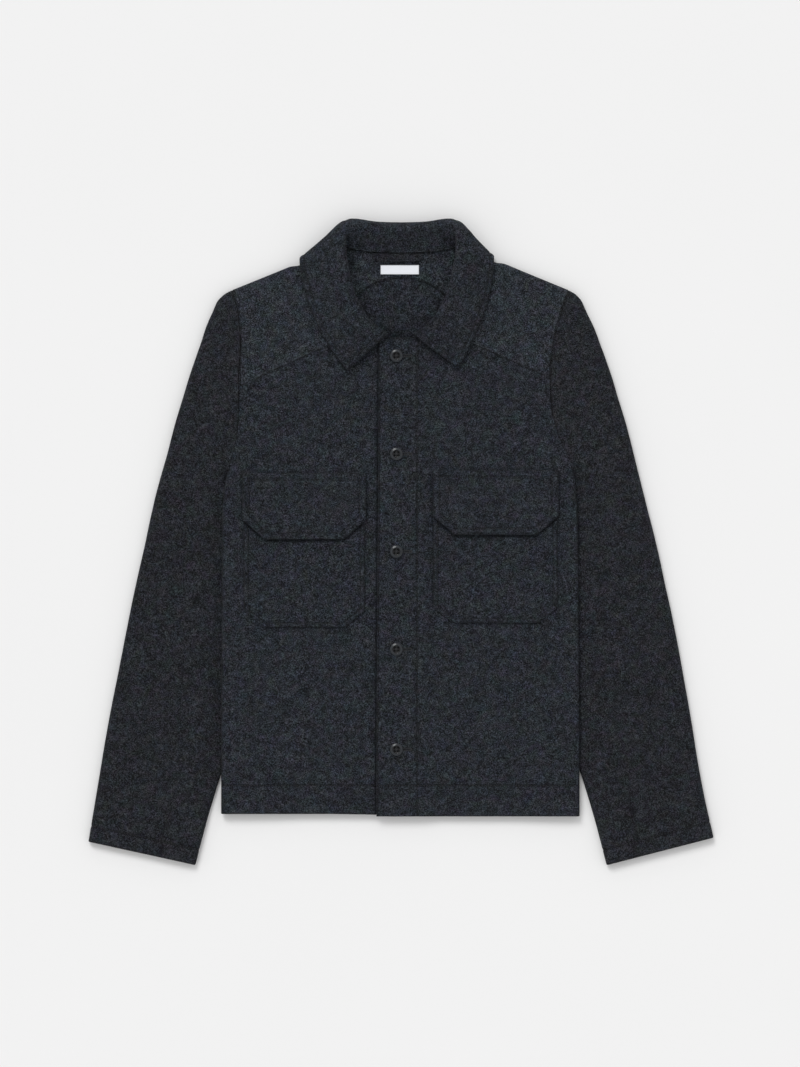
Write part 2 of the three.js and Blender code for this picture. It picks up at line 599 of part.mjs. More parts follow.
// The rings crowd by the underarm, so each point there is drawn to the middle of its neighbours.
function eased(lines, corner) {
  const ringSteps = [1, 2, 3, 4, 5, 6, 7];
  const columns = [-3, -2, -1, 0, 1, 2, 3, 4, 5].map((k) => corner + k);
  for (let pass = 0; pass < 4; pass++) {
    const before = lines.map((line) => line.map((p) => p.clone()));
    for (const i of ringSteps)
      for (const j of columns) {
        const near = [before[i - 1][j], before[i + 1][j], before[i][j - 1], before[i][j + 1]];
        const middle = near.reduce((sum, p) => sum.add(p), new THREE.Vector3()).multiplyScalar(0.25);
        lines[i][j].lerp(middle, 0.4);
      }
  }
  return lines;
}

// One section of the collar: up the stand, round the roll and down the fall to the free edge
function collarSection(sign, station) {
  const value = (pick) => collarValue(pick, station);
  const edgeSide = sign < 0 ? "right" : "left";
  const neck = neckline(sign, station);
  const stand = [sign * value((r) => r.stand[0]), value((r) => r.stand[1]), value((r) => r.stand[2])];
  const turn = [sign * value((r) => r.turn[0]), value((r) => r.turn[1]), value((r) => r.turn[2])];
  const [edgeX, edgeY] = [value((r) => r[edgeSide][0]), value((r) => r[edgeSide][1])];
  const edge = [sign * edgeX, edgeY, value((r) => r.edgeZ)];
  const past = smooth(SHOULDER_STATION - 1, SHOULDER_STATION + 1, station);
  const sewnTo = mix(topHeight(...neck), backHeight(...neck), past);
  const lean = Math.hypot(stand[0] - neck[0], stand[1] - neck[1]);
  const level = lean / Math.hypot(lean, stand[2] - sewnTo);
  const neckZ = sewnTo + HALF + SEAM + (COLLAR_CLOTH / 2) * level;
  const share = value((r) => r.bend[0]);
  const bend = [mix(turn[0], edge[0], share), mix(turn[1], edge[1], share), value((r) => r.bend[1])];
  const knots = [[...neck, neckZ], stand, turn, bend, edge].map((p) => new THREE.Vector3(...p));
  const curve = new THREE.CatmullRomCurve3(knots, false, "centripetal");
  const steps = [0, 0.12, 0.2, 0.25, 0.32, 0.4, 0.5, 0.62, 0.75, 0.87, 1];
  const points = steps.map((t) => curve.getPoint(t));
  for (const p of points) p.z = Math.max(p.z, COLLAR_CLOTH / 2 + 0.15);
  return points;
}

function collar() {
  const half = range(STEPS.collar / 2).map((s) => s * BACK_STATION);
  const right = half.map((station) => collarSection(-1, station));
  const left = half.map((station) => collarSection(1, station)).reverse();
  return clothSolid([...right, ...left.slice(1)], COLLAR_CLOTH);
}

// A patch with its two lower corners cut off, laid on the panel under it
function patch(shape, height, thick, columns, rows) {
  const { from, to, top, bottom, cutX, cutY } = shape;
  const inCut = (share) => {
    const n = 3;
    return range(n).map((k) => k * share);
  };
  const cutShare = cutX / (to - from);
  const middle = range(columns).slice(1, -1).map((k) => mix(cutShare, 1 - cutShare, k));
  const shares = [...inCut(cutShare), ...middle, ...inCut(cutShare).map((k) => 1 - k).reverse()];
  const lines = shares.map((share) => {
    const x = mix(from, to, share);
    const cut = cutY * (1 - clamp(Math.min(share, 1 - share) / cutShare, 0, 1));
    return range(rows).map((v) => {
      const y = mix(bottom + cut, top, v);
      return new THREE.Vector3(x, y, height(x, y));
    });
  });
  return clothSolid(lines, thick);
}

const panelHeight = (sign) => (sign < 0 ? frontHeight : upperFrontHeight);
function pocketHeight(sign) {
  return (x, y) => panelHeight(sign)(x, y) + HALF + SEAM + POCKET_CLOTH / 2;
}
function flapHeight(sign) {
  const shape = FLAPS[sign < 0 ? "right" : "left"];
  const pocketTop = POCKETS[sign < 0 ? "right" : "left"].top;
  return (x, y) => {
    const overPocket = (POCKET_CLOTH + SEAM) * (1 - smooth(pocketTop + 3, pocketTop + 16, y));
    const lift = FLAP_LIFT * (1 - smooth(shape.bottom, shape.bottom + 45, y));
    return panelHeight(sign)(x, y) + HALF + SEAM + FLAP_CLOTH / 2 + overPocket + lift;
  };
}

function hangerLoop() {
  const { from, to, y, dip, width, thick, rise } = LOOP;
  const face = (x, up) => backHeight(x, up) + HALF + SEAM + thick / 2;
  const lines = range(14).map((s) => {
    const x = mix(from, to, s);
    const end = Math.max(0, 1 - Math.min(s, 1 - s) / 0.16) ** 2;
    return [0, 0.5, 1].map((k) => {
      const up = y + (k - 0.5) * width * (1 - 0.45 * end) + dip * 0.35 * end;
      return new THREE.Vector3(x, up, face(x, up) + rise * (1 - end));
    });
  });
  return clothSolid(lines, thick);
}

function label() {
  const { x, y, width, height, thick } = LABEL;
  const face = (px, py) => backHeight(px, py) + HALF + SEAM + thick / 2;
  const lines = range(6).map((s) => {
    const px = x + (s - 0.5) * width;
    return range(2).map((k) => {
      const py = y + (k - 0.5) * height;
      return new THREE.Vector3(px, py, face(px, py));
    });
  });
  return clothSolid(lines, thick);
}

const wasm = await Module();
wasm.setup();
function toSolid(geometry) {
  const bare = geometry.clone();
  bare.deleteAttribute("normal");
  bare.deleteAttribute("uv");
  const merged = mergeVertices(bare, 1e-4);
  const vertProperties = merged.attributes.position.array;
  const triVerts = new Uint32Array(merged.index.array);
  return new wasm.Manifold(new wasm.Mesh({ numProp: 3, vertProperties, triVerts }));
}
function toGeometry(solid) {
  const { vertProperties, triVerts } = solid.getMesh();
  return new THREE.BufferGeometry()
    .setAttribute("position", new THREE.BufferAttribute(vertProperties, 3))
    .setIndex(new THREE.BufferAttribute(triVerts, 1));
}

// A four-hole button with a rounded rim round a shallow well
function buttonShape() {
  const { radius, thick, well, wellDeep } = BUTTON;
  const outline = [
    [0, 0],
    [radius - 1.2, 0],
    [radius, 1.1],
    [radius - 0.2, thick - 0.9],
    [radius - 1.3, thick],
    [well + 0.4, thick - 0.2],
    [well - 0.5, thick - wellDeep],
    [0, thick - wellDeep],
  ].map(([r, z]) => new THREE.Vector2(r, z));
  let solid = toSolid(new THREE.LatheGeometry(outline, 16).rotateX(Math.PI / 2));
  if (solid.volume() < 0) throw new Error("the button's profile is inside out");
  for (const [sx, sy] of [[1, 1], [1, -1], [-1, 1], [-1, -1]]) {
    const drill = new THREE.CylinderGeometry(BUTTON_HOLE.radius, BUTTON_HOLE.radius, 4 * thick, 6);
    drill.rotateX(Math.PI / 2).translate(sx * BUTTON_HOLE.spread, sy * BUTTON_HOLE.spread, thick / 2);
    solid = solid.subtract(toSolid(drill));
  }
  return toGeometry(solid);
}

const wool = new THREE.MeshStandardMaterial({
  color: 0x2b2e34, roughness: 0.96, metalness: 0, side: THREE.DoubleSide,
});
const horn = new THREE.MeshStandardMaterial({ color: 0x26292c, roughness: 0.38, metalness: 0 });
const tape = new THREE.MeshStandardMaterial({ color: 0xe6e9ee, roughness: 0.8, metalness: 0 });

const shacket = new THREE.Group();
function add(name, geometry, material) {
  const mesh = new THREE.Mesh(geometry, material);
  mesh.name = name;
  shacket.add(mesh);
  return mesh;
}

add("back", backPanel(), wool);
add("yoke", yoke(), wool);
add("collar", collar(), wool);
for (const sign of [-1, 1]) {
  const side = sign < 0 ? "right" : "left";
  add(`front_${side}`, frontPanel(sign), wool);
  add(`sleeve_${side}`, sleeve(sign), wool);
  add(`pocket_${side}`, patch(POCKETS[side], pocketHeight(sign), POCKET_CLOTH, 6, 8), wool);
  add(`pocket_flap_${side}`, patch(FLAPS[side], flapHeight(sign), FLAP_CLOTH, 6, 6), wool);
}
add("hanger_loop", hangerLoop(), wool);
add("label", label(), tape);
const buttonGeometry = buttonShape();
BUTTON.ys.forEach((y, i) => {
  const button = add(`button_${i + 1}`, buttonGeometry, horn);
  button.position.set(BUTTON.x, y, upperFrontHeight(BUTTON.x, y) + HALF + SEAM);
});

export default shacket;
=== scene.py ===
import json
import math

import bpy
import numpy as np
from mathutils import Matrix

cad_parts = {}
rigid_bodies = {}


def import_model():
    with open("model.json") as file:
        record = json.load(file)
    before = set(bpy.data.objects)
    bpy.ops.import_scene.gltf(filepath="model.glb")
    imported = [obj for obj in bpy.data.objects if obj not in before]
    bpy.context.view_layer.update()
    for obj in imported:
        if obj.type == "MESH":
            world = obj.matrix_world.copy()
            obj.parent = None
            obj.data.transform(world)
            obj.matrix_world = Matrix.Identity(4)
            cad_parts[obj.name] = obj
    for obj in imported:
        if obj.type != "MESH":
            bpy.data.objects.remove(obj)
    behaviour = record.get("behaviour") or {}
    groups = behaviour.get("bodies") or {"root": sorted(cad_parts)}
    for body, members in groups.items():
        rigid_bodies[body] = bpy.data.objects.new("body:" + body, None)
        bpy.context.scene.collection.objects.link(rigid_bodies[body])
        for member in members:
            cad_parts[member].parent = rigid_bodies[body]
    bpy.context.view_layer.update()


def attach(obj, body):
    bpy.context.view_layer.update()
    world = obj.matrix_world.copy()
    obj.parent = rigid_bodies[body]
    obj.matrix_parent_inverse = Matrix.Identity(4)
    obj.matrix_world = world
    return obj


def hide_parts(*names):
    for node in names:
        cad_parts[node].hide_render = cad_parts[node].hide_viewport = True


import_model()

MM = 0.001
SIDES = {-1: "right", 1: "left"}

# Cloth
CLOTH = 2.2
COLLAR_CLOTH = 3.6
POCKET_CLOTH = 2.0
FLAP_CLOTH = 2.8
LOOP_CLOTH = 1.6
LABEL_CLOTH = 0.8
SEAM = 0.34
HALF = CLOTH / 2
# Sewn edges press a little into each other
SEWN = 0.2

# Heights of the middle of the cloth
FRONT_HEIGHT = 10.4
FRONT_SIDE_RISE = 2.1
FRONT_NECK_RISE = 2.0
HEM_DROOP = 1.4
SLEEVE_HEIGHT = 9.0
CUFF_DROOP = 0.4
PRESSED_SLEEVE = 4.7
BACK_OVER_SLEEVE = 6.4
BACK_OVER_COLLAR = 4.9
COLLAR_TUCK = 3
OVERLAP_STEP = CLOTH + SEAM
# The lowest that cloth lies over the surface under it
LYING = 0.05

# Front opening
EDGE_TOP_X = -26.3
EDGE_HEM_X = -29.0
UNDER_FRONT_X = 18
STEP_FROM, STEP_TO = 22, 46
HEM_Y = {"right": -320.5, "left": -323.3}
UNDERARM_Y = 85
FOLD_STEPS = 8
SHOULDER_TIP_Y = 297

# Outline of the body: the side fold up to the underarm, the armhole seam above it
BODY = {
    "y": [-324, -200, -60, 20, 55, 85, 110, 135, 165, 195, 228, 260, 285, 297],
    "right": [212, 211.8, 211.2, 210.8, 209, 204, 197, 192.5, 191, 191, 189, 190.5, 195.5, 199],
    "left": [210.5, 210.2, 209.2, 208.4, 206.6, 203, 192, 183, 176.8, 175.6, 178.6, 185, 192.5, 197.5],
}
# Seams and edges as distances out from the centre line, and y
THROAT = [(0, 241), (16, 242), (38, 254)]
YOKE_SEAM = {"right": [(38, 254), (192, 182.6)], "left": [(38, 254), (176, 193.3)]}
ARCH = [(0, 313.2), (25, 308.4), (53, 291), (90, 268.5), (130, 246.5), (192, 216)]
COLLAR_UNDER = [(0, 275), (48, 278), (88, 291), (112, 310), (124, 326), (136, 350)]

# Collar sections from the front end round to the centre back
COLLAR = {
    "neck": [(16, 242), (38, 254), (52, 276), (61, 300), (66, 324), (68.5, 339), (69, 347),
             (67, 350.5), (62, 347.5), (55, 345.5), (46, 343.6), (25, 341.6), (0, 340.8)],
    "stand": [(15.5, 244, 19.6), (34, 257.5, 22.4), (48, 277, 25), (57.5, 299, 27.2), (63, 322, 28.4),
              (66, 342, 28), (66.5, 357, 26.8), (66, 366, 24.6), (61.5, 372, 22.6), (54, 374, 21.4),
              (45, 374, 20.8), (24.5, 372, 20), (0, 371.2, 19.6)],
    "turn": [(21, 239, 21), (40, 252.5, 24.2), (55.5, 273, 26.8), (66, 297, 28.6), (72.5, 322, 29.2),
             (76, 345, 28), (76, 360, 24.6), (72, 371.5, 18.4), (64.5, 377.4, 12.5), (56, 379.2, 10.6),
             (46, 378.1, 10.2), (25, 375.2, 10), (0, 374.6, 10)],
    "bend": [(0.5, 18.6), (0.5, 20.2), (0.5, 21.6), (0.5, 22.6), (0.5, 23), (0.5, 22.4), (0.5, 19.6),
             (0.42, 13.4), (0.3, 5), (0.16, 2.2), (0.13, 2), (0.12, 2), (0.12, 2)],
    "right": [(63, 202.2), (72, 212.6), (84, 230.5), (98.5, 257), (110, 288), (116.5, 312),
              (119.2, 325), (118.4, 333.2), (113.5, 328), (103, 313), (80, 295), (44, 281), (0, 276)],
    "left": [(65.5, 205.6), (72, 212.4), (81, 231.5), (92.5, 257), (102.5, 286), (107.5, 311),
             (109.2, 325), (109, 334.8), (105, 328), (98, 314), (77, 295), (43, 281), (0, 276)],
    "edge_z": [(15.8,), (15.6,), (15.6,), (15.8,), (16,), (15.8,), (15.6,), (9.2,), (2.6,), (2,), (2,),
               (2,), (2,)],
}
YOKE_STATION = 1
SHOULDER_STATION = 7
BACK_STATION = len(COLLAR["neck"]) - 1

# Sleeve sections from armhole to cuff: the outer fold on each side, and the underarm fold
SLEEVE = {
    "at": [0, 0.012, 0.027, 0.05, 0.1, 0.17, 0.25, 0.33, 0.41, 0.5, 0.58, 0.66, 0.74, 0.82, 0.9, 1],
    "right": [(199, 297), (210.8, 290), (222, 272), (236.2, 235), (256.5, 173), (268.7, 131),
              (275.5, 104), (284.7, 72), (293.2, 38), (302.4, -5), (312.6, -50), (322.9, -100), (333.6, -155),
              (345.2, -214), (355.5, -275), (368.6, -353.4)],
    "left": [(197.5, 297), (208.3, 290), (218.7, 272), (234.8, 235), (255.3, 173), (267.6, 131),
             (274.3, 104), (282.3, 72), (290.8, 38), (301.6, -5), (311.4, -50), (322.2, -100), (332.4, -155),
             (342.8, -214), (352.8, -275), (368.6, -348.6)],
    "inner": [(205, 84.8), (205.8, 82), (206.2, 78.5), (206.7, 73), (206.2, 60), (199, 42), (191.5, 20),
              (182, -6), (174, -38), (168, -78), (166.5, -115), (173, -155), (186, -200), (203, -248),
              (220.4, -300), (242.5, -381)],
}
ARMHOLE_REACH = 0.25
UNDERARM_EASE = 1.3

# Chest pockets and their flaps: sides, top, bottom and cut corners
POCKETS = {
    "right": dict(start=-185.3, stop=-42.6, top=66, bottom=-100.6, cut_x=23, cut_y=20),
    "left": dict(start=37.8, stop=184.4, top=70, bottom=-95.4, cut_x=23, cut_y=18),
}
FLAPS = {
    "right": dict(start=-186.8, stop=-41.2, top=81.4, bottom=3.2, cut_x=26, cut_y=23),
    "left": dict(start=37.4, stop=185.6, top=84.8, bottom=8.4, cut_x=26, cut_y=22),
}
FLAP_LIFT = 2.0

# Small pieces
BUTTON_X = -5.4
BUTTON_YS = [219.5, 103.8, -11.2, -126.3, -244.3]
BUTTON = dict(radius=7.7, thick=3.2, well=4.7, well_deep=1.2, hole=1.2, spread=1.7)
LOOP = dict(start=-34, stop=26, y=335, dip=7, width=10, rise=2.4)
LABEL = dict(x=-1.5, y=320.9, width=45.4, height=11.0)

# Sewing
PLACKET_STITCH_X = 18.9
HEM_STITCH_Y = -286.7
THREAD = 0.5
COLLAR_INSET = 7.0
COLLAR_ENDS = (12, 60)
COLLAR_EDGE_STEPS = 6
POCKET_INSET = 4.8
FLAP_INSET = 7.6
FLAP_TOP_INSET = 8.4
CUFF_HEM = 19.0
HEM_TURNED = 1.3
VENTS = {"right": [(-275.5, -313), (-283.0, -366)], "left": [(272.0, -312), (281.5, -364)]}
GROOVE_DEEP = 0.7
GROOVE_WIDE = 1.15
# How dark the painted shade is round the rounded edges of the cloth
EDGE_SHADE = 1.0

# Creases: from x, y to x, y, half width, height of the ridge (a trough if it is negative), and bow
FRONT_CREASES = [
    (-188, 60, -150, -150, 13, 1.5, 10),
    (-205, -20, -120, -215, 12, -1.3, -14),
    (-196, -150, -150, -318, 14, 1.4, 8),
    (-118, -120, -92, -312, 16, -1.2, -10),
    (-70, -104, -52, -300, 13, 1.0, 6),
    (-50, 180, -36, 60, 9, -0.8, 3),
    (-36, 60, -40, -110, 8, -0.7, -2),
    (-190, 120, -110, 168, 12, 1.2, -8),
    (-176, 96, -84, 118, 11, -0.9, 5),
    (-120, 190, -150, 262, 12, 0.9, 6),
    (-150, 205, -178, 270, 10, -0.8, -4),
    (33, 190, 36, 20, 9, -0.9, 3),
    (34, 20, 40, -150, 9, -0.8, -4),
    (60, -98, 96, -300, 15, 1.2, 10),
    (120, -110, 148, -312, 14, -1.3, -10),
    (198, 20, 150, -170, 13, 1.4, 12),
    (204, -120, 176, -310, 13, -1.4, -8),
    (186, 116, 104, 176, 12, 1.1, 8),
    (172, 98, 80, 112, 10, -0.9, -4),
    (118, 196, 140, 268, 12, 0.9, -6),
    (142, 198, 168, 272, 11, -0.9, 4),
    (207, -50, 206, -172, 9, 2.6, 0),
    (44, -190, 196, -232, 18, 0.9, 12),
    (-44, -232, -200, -196, 18, -0.8, 14),
]
SLEEVE_CREASES = [
    (-214, 250, -238, 120, 13, -1.5, 12),
    (-236, 240, -262, 120, 12, 1.1, 8),
    (-208, 60, -262, 118, 11, 1.5, -8),
    (-212, 30, -276, 84, 10, -1.4, -10),
    (-216, -8, -282, 34, 11, 1.4, -8),
    (-222, -60, -300, -22, 10, -1.5, 8),
    (-220, -96, -304, -70, 12, 1.3, 10),
    (-232, -150, -306, -196, 12, -1.2, -9),
    (-250, -120, -276, -300, 16, 1.3, 12),
    (-296, -150, -318, -330, 14, -1.2, -8),
    (-262, -262, -330, -288, 11, 1.0, 6),
    (216, 262, 236, 150, 13, -1.3, -10),
    (238, 226, 258, 108, 12, 1.2, -9),
    (210, 70, 270, 110, 11, 1.3, 8),
    (214, 34, 282, 62, 10, -1.5, 9),
    (218, 0, 290, 6, 10, 1.3, 8),
    (222, -48, 300, -60, 11, -1.4, -10),
    (228, -84, 306, -112, 11, 1.5, -8),
    (228, -140, 316, -168, 12, -1.3, 8),
    (256, -150, 282, -320, 16, 1.2, -12),
    (300, -190, 330, -340, 14, -1.2, 9),
    (266, -240, 336, -262, 11, 0.9, -6),
]
# On the side that lies down a crease can only lift the cloth
BACK_CREASES = [
    (-150, 60, -120, -180, 14, 1.5, 12),
    (-60, 120, -84, -120, 16, 1.3, -14),
    (-30, -60, 20, -300, 15, 1.5, 12),
    (70, 140, 48, -80, 15, 1.4, 12),
    (140, 40, 112, -200, 14, 1.5, -14),
    (-110, -190, 60, -236, 18, 1.3, 10),
    (84, -170, 130, -316, 13, 1.3, 8),
    (-96, 200, 90, 176, 16, 1.2, 12),
]
UNDER_SLEEVE_CREASES = [
    (-240, 200, -262, 60, 12, 1.2, 10),
    (-240, 20, -300, -40, 12, 1.3, -10),
    (-246, -90, -310, -140, 12, 1.2, 10),
    (-270, -180, -310, -330, 14, 1.3, -10),
    (238, 190, 268, 50, 12, 1.3, -10),
    (242, 10, 302, -50, 12, 1.2, 10),
    (250, -110, 314, -150, 12, 1.3, -8),
    (274, -190, 316, -335, 14, 1.2, 10),
]


# Curves and tables
def mix(a, b, t):
    return a + (b - a) * t


def smooth(start, stop, v):
    t = np.clip((v - start) / (stop - start), 0, 1)
    return t * t * (3 - 2 * t)


def through(keys, values, at):
    """A smooth value through a table's rows that never overshoots them."""
    keys = np.asarray(keys, float)
    values = np.asarray(values, float)
    at = np.clip(at, keys[0], keys[-1])
    i = np.clip(np.searchsorted(keys, at, side="left") - 1, 0, len(keys) - 2)
    slope = np.diff(values) / np.diff(keys)
    both = slope[:-1] * slope[1:]
    total = np.where(both > 0, slope[:-1] + slope[1:], 1)
    tangent = np.concatenate([slope[:1], np.where(both > 0, 2 * both / total, 0), slope[-1:]])
    width = keys[i + 1] - keys[i]
    t = (at - keys[i]) / width
    a = values[i] + t * width * tangent[i]
    b = values[i + 1] - (1 - t) * width * tangent[i + 1]
    return mix(a, b, t * t * (3 - 2 * t))


def table_y(rows, out):
    """The y of a seam or edge at a distance out from the centre line."""
    return through([r[0] for r in rows], [r[1] for r in rows], out)


def body_edge(side, y):
    return through(BODY["y"], BODY[side], y)


def underarm_fold(y):
    return through([p[1] for p in SLEEVE["inner"][::-1]], [p[0] for p in SLEEVE["inner"][::-1]], y)


def spread(start, stop, pitch, seams=(), reach=2.8, fine=0.7):
    """Steps from start to stop, about pitch apart, and closer where a line of stitches runs."""
    places = np.linspace(start, stop, max(2, int(round(abs(stop - start) / pitch)) + 1))
    for seam in seams:
        near = np.arange(seam - reach, seam + reach + fine / 2, fine)
        inside = (near > min(start, stop) + fine) & (near < max(start, stop) - fine)
        places = np.concatenate([places[np.abs(places - seam) > reach + fine], near[inside]])
    places = np.sort(places)
    return places if stop > start else places[::-1]


def folds(table, x, y):
    """The lift of a table's creases at x, y: each is a ridge with a softer trough beside it."""
    lift = np.zeros(np.broadcast(x, y).shape)
    for x0, y0, x1, y1, width, ridge, bow in table:
        dx, dy = x1 - x0, y1 - y0
        length = math.hypot(dx, dy)
        along = ((x - x0) * dx + (y - y0) * dy) / length**2
        off = ((x - x0) * dy - (y - y0) * dx) / length - bow * 4 * along * (1 - along)
        fade = smooth(-0.15, 0.3, along) * (1 - smooth(0.62, 1.15, along))
        wide = width * (0.7 + 0.6 * np.clip(along, 0, 1))
        shape = np.exp(-((off / wide) ** 2)) - 0.5 * np.exp(-(((off + 1.9 * wide) / (1.3 * wide)) ** 2))
        lift = lift + ridge * fade * shape
    return lift


def ripple(x, y, size, seed):
    """A slow unevenness of the cloth, about 1 high."""
    a = np.sin(x / size + 1.7 * seed) * np.cos(y / (1.3 * size) - 0.6 * seed)
    b = np.sin((0.6 * x + 0.9 * y) / (0.57 * size) + seed)
    c = np.cos((0.8 * x - 0.5 * y) / (0.41 * size) + 2.3 * seed)
    return (a + 0.6 * b + 0.4 * c) / 2


# Heights of the middle of the cloth, with its creases
def front_folds(x, y):
    out = np.abs(x)
    clear_of_collar = 1 - smooth(178, 212, y) * (1 - smooth(112, 138, out))
    clear_of_shoulder = 1 - smooth(262, 284, y)
    clear_of_buttons = smooth(9, 26, np.abs(x - BUTTON_X))
    clear_of_side = 1 - smooth(192, 204, out) * (1 - smooth(70, 120, y))
    lift = folds(FRONT_CREASES, x, y) + 0.4 * ripple(x, y, 34, 1)
    return lift * clear_of_collar * clear_of_shoulder * clear_of_buttons * clear_of_side


def front_height(x, y):
    out = np.abs(x)
    side = FRONT_SIDE_RISE * smooth(110, 190, out) * (1 - smooth(40, 100, y))
    neck = FRONT_NECK_RISE * smooth(240, 330, y) * (1 - smooth(100, 150, out))
    hem = HEM_DROOP * (1 - smooth(-322, -250, y))
    return FRONT_HEIGHT + side + neck - hem + front_folds(x, y)


def upper_front_height(x, y):
    return front_height(x, y) + OVERLAP_STEP * (1 - smooth(STEP_FROM, STEP_TO, x))


def back_folds(x, y):
    out = np.abs(x)
    clear_of_side = 1 - smooth(130, 160, out)
    clear_of_yoke = 1 - smooth(190, 240, y)
    lift = np.maximum(folds(BACK_CREASES, x, y), 0) + 0.25 + 0.25 * ripple(x, y, 30, 2)
    return lift * clear_of_side * clear_of_yoke


def back_height(x, y):
    out = np.abs(x)
    fold = underarm_fold(y)
    over_sleeve = BACK_OVER_SLEEVE * smooth(fold - 30, fold - 3, out) * (1 - smooth(64, 88, y))
    under = table_y(COLLAR_UNDER, np.minimum(out, 135))
    over_collar = BACK_OVER_COLLAR * smooth(under - 44, under - 12, y)
    return HALF + over_sleeve + over_collar + back_folds(x, y)


def top_height(x, y):
    step = np.where(x < 0, 1 - smooth(30, STEP_TO, -x), 1 - smooth(STEP_FROM, STEP_TO, x))
    return front_height(x, y) + OVERLAP_STEP * step


def sleeve_height(sign, out, y):
    edge = body_edge(SIDES[sign], y)
    free = smooth(edge + 1, edge + 27, out)
    lift = (folds(SLEEVE_CREASES, sign * out, y) + 0.35 * ripple(sign * out, y, 30, 3)) * free
    low = mix(PRESSED_SLEEVE, SLEEVE_HEIGHT, free) + lift * (1 - smooth(236, 262, y))
    cuff = CUFF_DROOP * (1 - smooth(-380, -300, y))
    return mix(low, FRONT_HEIGHT, smooth(66, 98, y)) - cuff


def under_sleeve_lift(sign, out, y):
    edge = body_edge(SIDES[sign], y)
    clear = smooth(edge + 14, edge + 40, out) * (1 - smooth(190, 230, y))
    return np.maximum(folds(UNDER_SLEEVE_CREASES, sign * out, y), 0) * clear


# Cloth with a thickness and rounded edges, from a grid of points in its middle
def cross_unit(a, b):
    n = np.cross(a, b)
    return n / np.maximum(np.linalg.norm(n, axis=-1, keepdims=True), 1e-9)


def unit(v):
    return v / np.maximum(np.linalg.norm(v, axis=-1, keepdims=True), 1e-9)


def grid_normals(grid, ring):
    down = np.gradient(grid, axis=0, edge_order=2)
    across = np.gradient(grid, axis=1, edge_order=2)
    if ring:
        across = (np.roll(grid, -1, axis=1) - np.roll(grid, 1, axis=1)) / 2
    return cross_unit(down, across)


def border_of(rows, cols, ring):
    """The border's cells in order: one closed line, or the two ends of a tube."""
    if ring:
        first = [(0, j) for j in range(cols)]
        last = [(rows - 1, j) for j in range(cols)]
        return [first, last]
    line = [(0, j) for j in range(cols)]
    line += [(i, cols - 1) for i in range(1, rows)]
    line += [(rows - 1, j) for j in range(cols - 2, -1, -1)]
    line += [(i, 0) for i in range(rows - 2, 0, -1)]
    return [line]


def outward(grid, rows, cols, ring, rounds):
    """At each border cell, the way out of the cloth, as long as its edge is round."""
    way = np.zeros_like(grid)
    way[0] += rounds[0] * unit(grid[0] - grid[1])
    way[-1] += rounds[1] * unit(grid[-1] - grid[-2])
    if not ring:
        way[:, 0] += rounds[2] * unit(grid[:, 0] - grid[:, 1])
        way[:, -1] += rounds[3] * unit(grid[:, -1] - grid[:, -2])
    return way


def cloth_shell(grid, thick, rounds, ring=False, up=True, relief=0, inner_relief=0, rolled=0):
    """A closed piece of cloth: its points and faces, where thread lies on its outer face, and how much
    shade is painted at each point. rounds are the radii of its four edges, and up says that the
    outer face of its first row faces up. relief thickens the outer and inner_relief the inner face.
    The last argument is how much shade is painted where the cloth turns."""
    rows, cols = grid.shape[:2]
    normal = grid_normals(grid, ring)
    if ring:
        centre = grid.mean(axis=1, keepdims=True)
        flip = np.sum(normal * (grid - centre)) < 0
    else:
        flip = (np.mean(normal[0, :, 2]) > 0) != up
    if flip:
        normal = -normal
    half = thick / 2
    way = outward(grid, rows, cols, ring, rounds)
    inset = grid - way
    on_border = np.linalg.norm(way, axis=-1) > 0
    outer = inset + normal * (half + np.where(on_border, 0, relief))[..., None]
    inner = inset - normal * (half + np.where(on_border, 0, inner_relief))[..., None]
    points = [outer.reshape(-1, 3), inner.reshape(-1, 3)]
    even = np.ones(grid.shape[:2])
    # Painted shade: darker where a groove dips the face, and where the cloth turns
    painted_shade = [(np.clip(rolled - side, 0, 1) * even).ravel() for side in (relief, inner_relief)]
    layer = rows * cols
    index = np.arange(layer).reshape(rows, cols)
    if ring:
        index = np.concatenate([index, index[:, :1]], axis=1)
    a, b, c, d = index[:-1, :-1], index[1:, :-1], index[1:, 1:], index[:-1, 1:]
    quads = np.stack([a, b, c, d], -1).reshape(-1, 4)
    faces = [quads, (quads + layer)[:, ::-1]]
    count = 2 * layer
    turns = np.radians([30, 60, 86, 94, 120, 150])
    for border in border_of(rows, cols, ring):
        i = np.array([p[0] for p in border])
        j = np.array([p[1] for p in border])
        base, out, n = inset[i, j], way[i, j], normal[i, j]
        radius = np.minimum(np.linalg.norm(out, axis=-1), half * 0.96)[:, None]
        rims = [index[i, j]]
        for turn in turns:
            upright = (half - radius) * np.sign(np.cos(turn)) + radius * np.cos(turn)
            points.append(base + out * np.sin(turn) + n * upright)
            # Painted shade round the rounded edge, darkest where it faces sideways
            painted_shade.append(np.full(len(border), EDGE_SHADE * np.sin(turn) ** 3))
            rims.append(count + np.arange(len(border)))
            count += len(border)
        rims.append(index[i, j] + layer)
        for near, far in zip(rims, rims[1:]):
            quad = np.stack([near, np.roll(near, -1), np.roll(far, -1), far], -1)
            faces.append(quad[:, ::-1] if border[0][0] == 0 else quad)
    thread_at = outer + 0.5 * THREAD * normal
    return np.concatenate(points), np.concatenate(faces), thread_at, np.concatenate(painted_shade)


def make_mesh(name, points, faces, material, smooth_shaded=True):
    mesh = bpy.data.meshes.new(name)
    mesh.from_pydata((np.asarray(points) * MM).tolist(), [], [list(map(int, f)) for f in faces])
    mesh.polygons.foreach_set("use_smooth", [smooth_shaded] * len(mesh.polygons))
    mesh.materials.append(material)
    mesh.update()
    piece = bpy.data.objects.new(name, mesh)
    bpy.context.scene.collection.objects.link(piece)
    return piece


